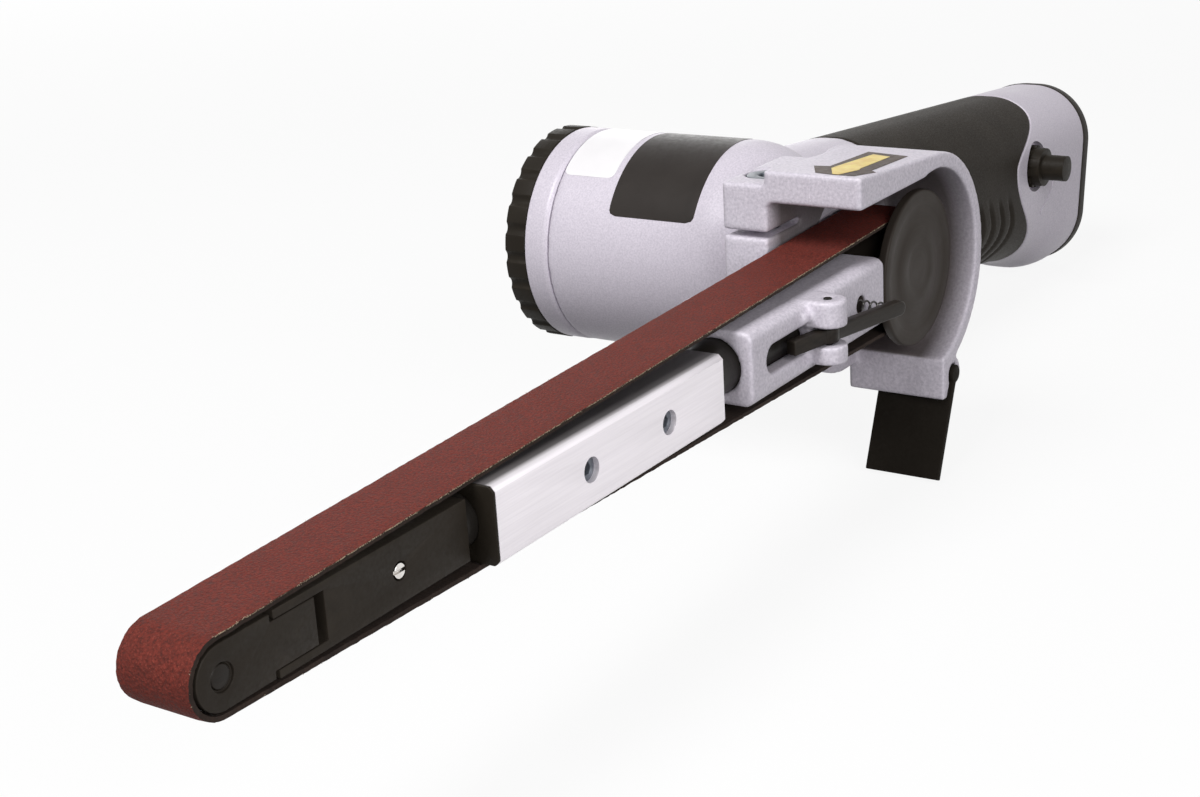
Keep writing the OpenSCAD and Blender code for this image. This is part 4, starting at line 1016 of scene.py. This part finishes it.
softPieces = [
    ("rear_ring", "scallopRing", 0.35, "tool_body", "black_plastic", blackPlastic),
    ("end_cap", "endPlate", 0.3, "tool_body", "black_plastic", blackPlastic),
    ("end_cap_screws", "endScrews", 0.2, "tool_body", "steel", groundSteel),
    ("inlet_bush", "airInlet", 0.35, "tool_body", "steel", groundSteel),
    ("rear_cover", "motorCover", 0.3, "tool_body", "silver_paint", silverPaint),
    ("trigger", "triggerPad", 0.6, "trigger", "black_plastic", blackPlastic),
    ("regulator_knob", "airKnob", 0.3, "regulator", "black_plastic", blackPlastic),
    ("clamp_screw", "clampScrew", 0.25, "belt_guard", "black_steel", clampSteel),
    ("latch_pin", "latchPin", 0.12, "belt_guard", "steel", rodSteel),
    ("latch_lever", "latchLever", 0.35, "latch_lever", "dark_steel", leverSteel),
    ("slide_rod", "slideRod", 0.4, "belt_arm", "black_steel", rodSteel),
    ("rod_key", "rodKey", 0.3, "belt_arm", "brass", turnedBrass),
    ("platen_bar", "platenBar", 0.18, "belt_arm", "bright_aluminium", brightBar),
    ("bar_end_cap", "barEndCap", 0.18, "belt_arm", "black_plastic", blackPlastic),
    ("bar_screws", "barScrews", 0.15, "belt_arm", "steel", clampSteel),
    ("nose_arm", "noseArm", 0.22, "belt_arm", "black_steel", blackSteel),
    ("nose_yoke", "noseYoke", 0.2, "nose_yoke", "black_steel", blackSteel),
    ("idler_axle", "noseAxle", 0.25, "nose_yoke", "dark_steel", leverSteel),
    ("tracking_screw", "trackingScrew", 0.15, "tracking_screw", "steel", screwSteel),
    ("deflector_flap", "rubberFlap", 0.3, "deflector_flap", "black_rubber", flapRubber),
]
for row in softPieces:
    softCopy(*row)
print("small pieces softened:", len(softPieces))


# drive pulley: drum under the belt and a dished disc on its open side; dish rows are (radius, depth, fillet)

discForm = dict(drum=10.9, drumFar=-6.95, discFar=7.25, face=9.15, radius=16.2, bore=0.4, sides=160, steps=8,
                dish=((0.4, -0.3, 0), (4.6, -0.3, 1.5), (6.2, 0.0, 1.2), (8.2, -0.06, 1.0), (10.2, -0.5, 2.0),
                      (12.4, -0.45, 1.6), (14.0, 0.0, 0.9), (16.2, -0.1, 0.6)))


def makeDisc():
    d = discForm
    corners = [(radius, d["face"] + deep, fillet) for radius, deep, fillet in d["dish"]]
    corners += [(d["radius"], d["discFar"], 0.3), (d["drum"], d["discFar"], 0.2),
                (d["drum"], d["drumFar"], 0.4), (d["bore"], d["drumFar"], 0)]
    verts, faces = latheMesh(roundedProfile(corners, d["steps"]), d["sides"])
    outward(newPiece("drivePulley", verts, faces, "rotor", [pulleySteel],
                     sharp=50, replaced=("drive_pulley",)))


makeDisc()
print("drive pulley made")


# springs: the latch's is drawn as round wire, and each one gets a mesh of its own

latchSpring = dict(coil=0.95, wire=0.2, turns=5, sides=10, stepsPerTurn=28, shortens=4.3)
innerSprings = [
    dict(node="tension_spring", name="tensionCoil", body="belt_guard", shortens=9.1),
    dict(node="trigger_spring", name="triggerCoil", body="tool_body", shortens=4.6),
    dict(node="tracking_spring", name="trackingCoil", body="belt_arm", shortens=0.6),
]


def pressCoil(piece, node):
    # finds the axis and the end that stays, as the record names them, and gives the piece a mesh of its own
    for joint in frame["record"]["behaviour"]["joints"]:
        for soft in joint.get("deforming_nodes", []):
            if soft["node"] != node:
                continue
            way = soft["mode"][-1]
            i = "xyz".index(way)
            axis, seat = Vector((0, 0, 0)), Vector((0, 0, 0))
            axis[i], seat[i] = 1.0, soft["fixed_end_%s_m" % way]
            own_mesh(piece)


def makeLatchSpring():
    s = latchSpring
    low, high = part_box("latch_spring")
    wire, coil = s["wire"] * mm, s["coil"] * mm
    centre = Vector(((low.x + high.x) / 2, 0, driveAxis.z))
    steps = s["turns"] * s["stepsPerTurn"]
    points = []
    for i in range(steps + 1):
        a = 2 * pi * i / s["stepsPerTurn"]
        y = between((low.y + wire, high.y - wire), i / steps)
        points.append(centre + Vector((coil * cos(a), y, coil * sin(a))))
    verts, faces = tubeAlong(points, wire, s["sides"])
    piece = newPiece("latchCoil", verts, faces, "belt_guard", [darkWire],
                     sharp=60, replaced=("latch_spring",))
    outward(piece)
    pressCoil(piece, "latch_spring")


makeLatchSpring()
for s in innerSprings:
    verts, faces = welded(s["node"])
    coil = newPiece(s["name"], verts, faces, s["body"], [springWire], replaced=(s["node"],))
    pressCoil(coil, s["node"])
print("springs made:", 1 + len(innerSprings))

# pieces inside the tool keep their CAD shape
hiddenFinish = dict(cylinder_liner=groundSteel, front_plate=groundSteel, rear_plate=groundSteel,
                    front_bearing=springWire, rear_bearing=springWire, rotor=groundSteel,
                    rotor_vanes=vaneFibre, throttle_valve=turnedBrass, regulator_stem=turnedBrass,
                    pivot_pin=groundSteel, idler_pulley=groundSteel, idler_bush=bushBronze)
for node, mat in hiddenFinish.items():
    setMaterials(nodes[node].data, [mat])
print("inner pieces finished:", len(hiddenFinish))


# camera at the photograph's angle: place in mm, focal length and centre in the image's pixels

photoCamera = dict(place=(351.12, 168.93, 109.22), look=(-0.77321, -0.53873, -0.33453), roll=-3.68,
                   focal=1919.87, image=(1200.0, 797.0), centre=(588.58, 406.55), sensor=36.0,
                   clip=(0.005, 50.0))


def aimed(thing, place, look):
    thing.location = place
    thing.rotation_mode = "QUATERNION"
    thing.rotation_quaternion = look.to_track_quat("-Z", "Y")


def makeCamera():
    c = photoCamera
    (width, height), (x, y) = c["image"], c["centre"]
    data = bpy.data.cameras.new("photoCamera")
    data.sensor_width = c["sensor"]
    data.lens = c["focal"] * c["sensor"] / width
    data.shift_x = (width / 2 - x) / width
    data.shift_y = (y - height / 2) / width
    data.clip_start, data.clip_end = c["clip"]
    camera = placed("photoCamera", data)
    aimed(camera, at(*c["place"]), Vector(c["look"]))
    camera.rotation_quaternion = camera.rotation_quaternion @ Quaternion((0, 0, 1), radians(c["roll"]))
    scene.camera = camera


makeCamera()


# studio in metres: pale floor, white surround, soft lamps

studio = dict(floorSize=12.0, floorGap=0.0006, floorColour=(0.18, 0.18, 0.184), seenColour=(0.85, 0.85, 0.85),
              surround=0.08, keepShadow=0.1, shadowReach=(0.45, 1.4), aim=(0.0, 0.0, 0.05))
lamps = [
    dict(name="keyLamp", place=(0.76, -0.10, 1.08), size=0.7, power=14.6),
    dict(name="sideLamp", place=(0.48, 0.75, 0.38), size=0.6, power=5.3),
    dict(name="backLamp", place=(-0.80, -0.80, 0.25), size=0.8, power=3.0),
]


def seenRays(tree):
    # 1 for what the camera sees, straight or in something shiny or clear
    path = tree.nodes.new("ShaderNodeLightPath").outputs
    some = mathNode(tree, "ADD", path["Is Camera Ray"], path["Is Glossy Ray"])
    total = opNode(tree, "ShaderNodeMath", "ADD", (some, path["Is Transmission Ray"]))
    total.use_clamp = True
    return total.outputs[0]


def makeFloor():
    half = studio["floorSize"] / 2
    corners = [(-half, -half, 0), (half, -half, 0), (half, half, 0), (-half, half, 0)]
    floor = placed("paleFloor", meshOf("paleFloor", corners, [(0, 1, 2, 3)]))
    floor.location.z = cadLow.z - studio["floorGap"]
    mat, tree, shader = startMaterial("paleFloor", Roughness=0.9, Specular_IOR_Level=0.0)
    seen = seenRays(tree)
    colour = mixColor(tree, seen, studio["floorColour"], studio["seenColour"])
    tree.links.new(colour, shader.inputs["Base Color"])
    away = vectorNode(tree, "LENGTH", objectPlace(tree), out="Value")  # plain white away from the tool
    white = rangeNode(tree, away, *studio["shadowReach"], 1 - studio["keepShadow"], 1.0)
    blend = tree.nodes.new("ShaderNodeMixShader")
    tree.links.new(product(tree, seen, white), blend.inputs["Fac"])
    tree.links.new(shader.outputs["BSDF"], blend.inputs[1])
    tree.links.new(tree.nodes.new("ShaderNodeEmission").outputs["Emission"], blend.inputs[2])
    tree.links.new(blend.outputs["Shader"], tree.nodes["Material Output"].inputs["Surface"])
    setMaterials(floor.data, [mat])


def makeSurround():
    world = bpy.data.worlds.new("whiteSurround")
    world.use_nodes = True
    tree = world.node_tree
    back = tree.nodes["Background"]
    back.inputs["Color"].default_value = (1, 1, 1, 1)
    strength = rangeNode(tree, seenRays(tree), 0.0, 1.0, studio["surround"], 1.0)
    tree.links.new(strength, back.inputs["Strength"])
    scene.world = world


def makeLamps():
    for form in lamps:
        data = bpy.data.lights.new(form["name"], "AREA")
        data.shape = "DISK"
        data.size = form["size"]
        data.energy = form["power"]
        aimed(placed(form["name"], data), form["place"], Vector(studio["aim"]) - Vector(form["place"]))


makeFloor()
makeSurround()
makeLamps()
scene.view_settings.view_transform = "Standard"
print("camera and studio set")
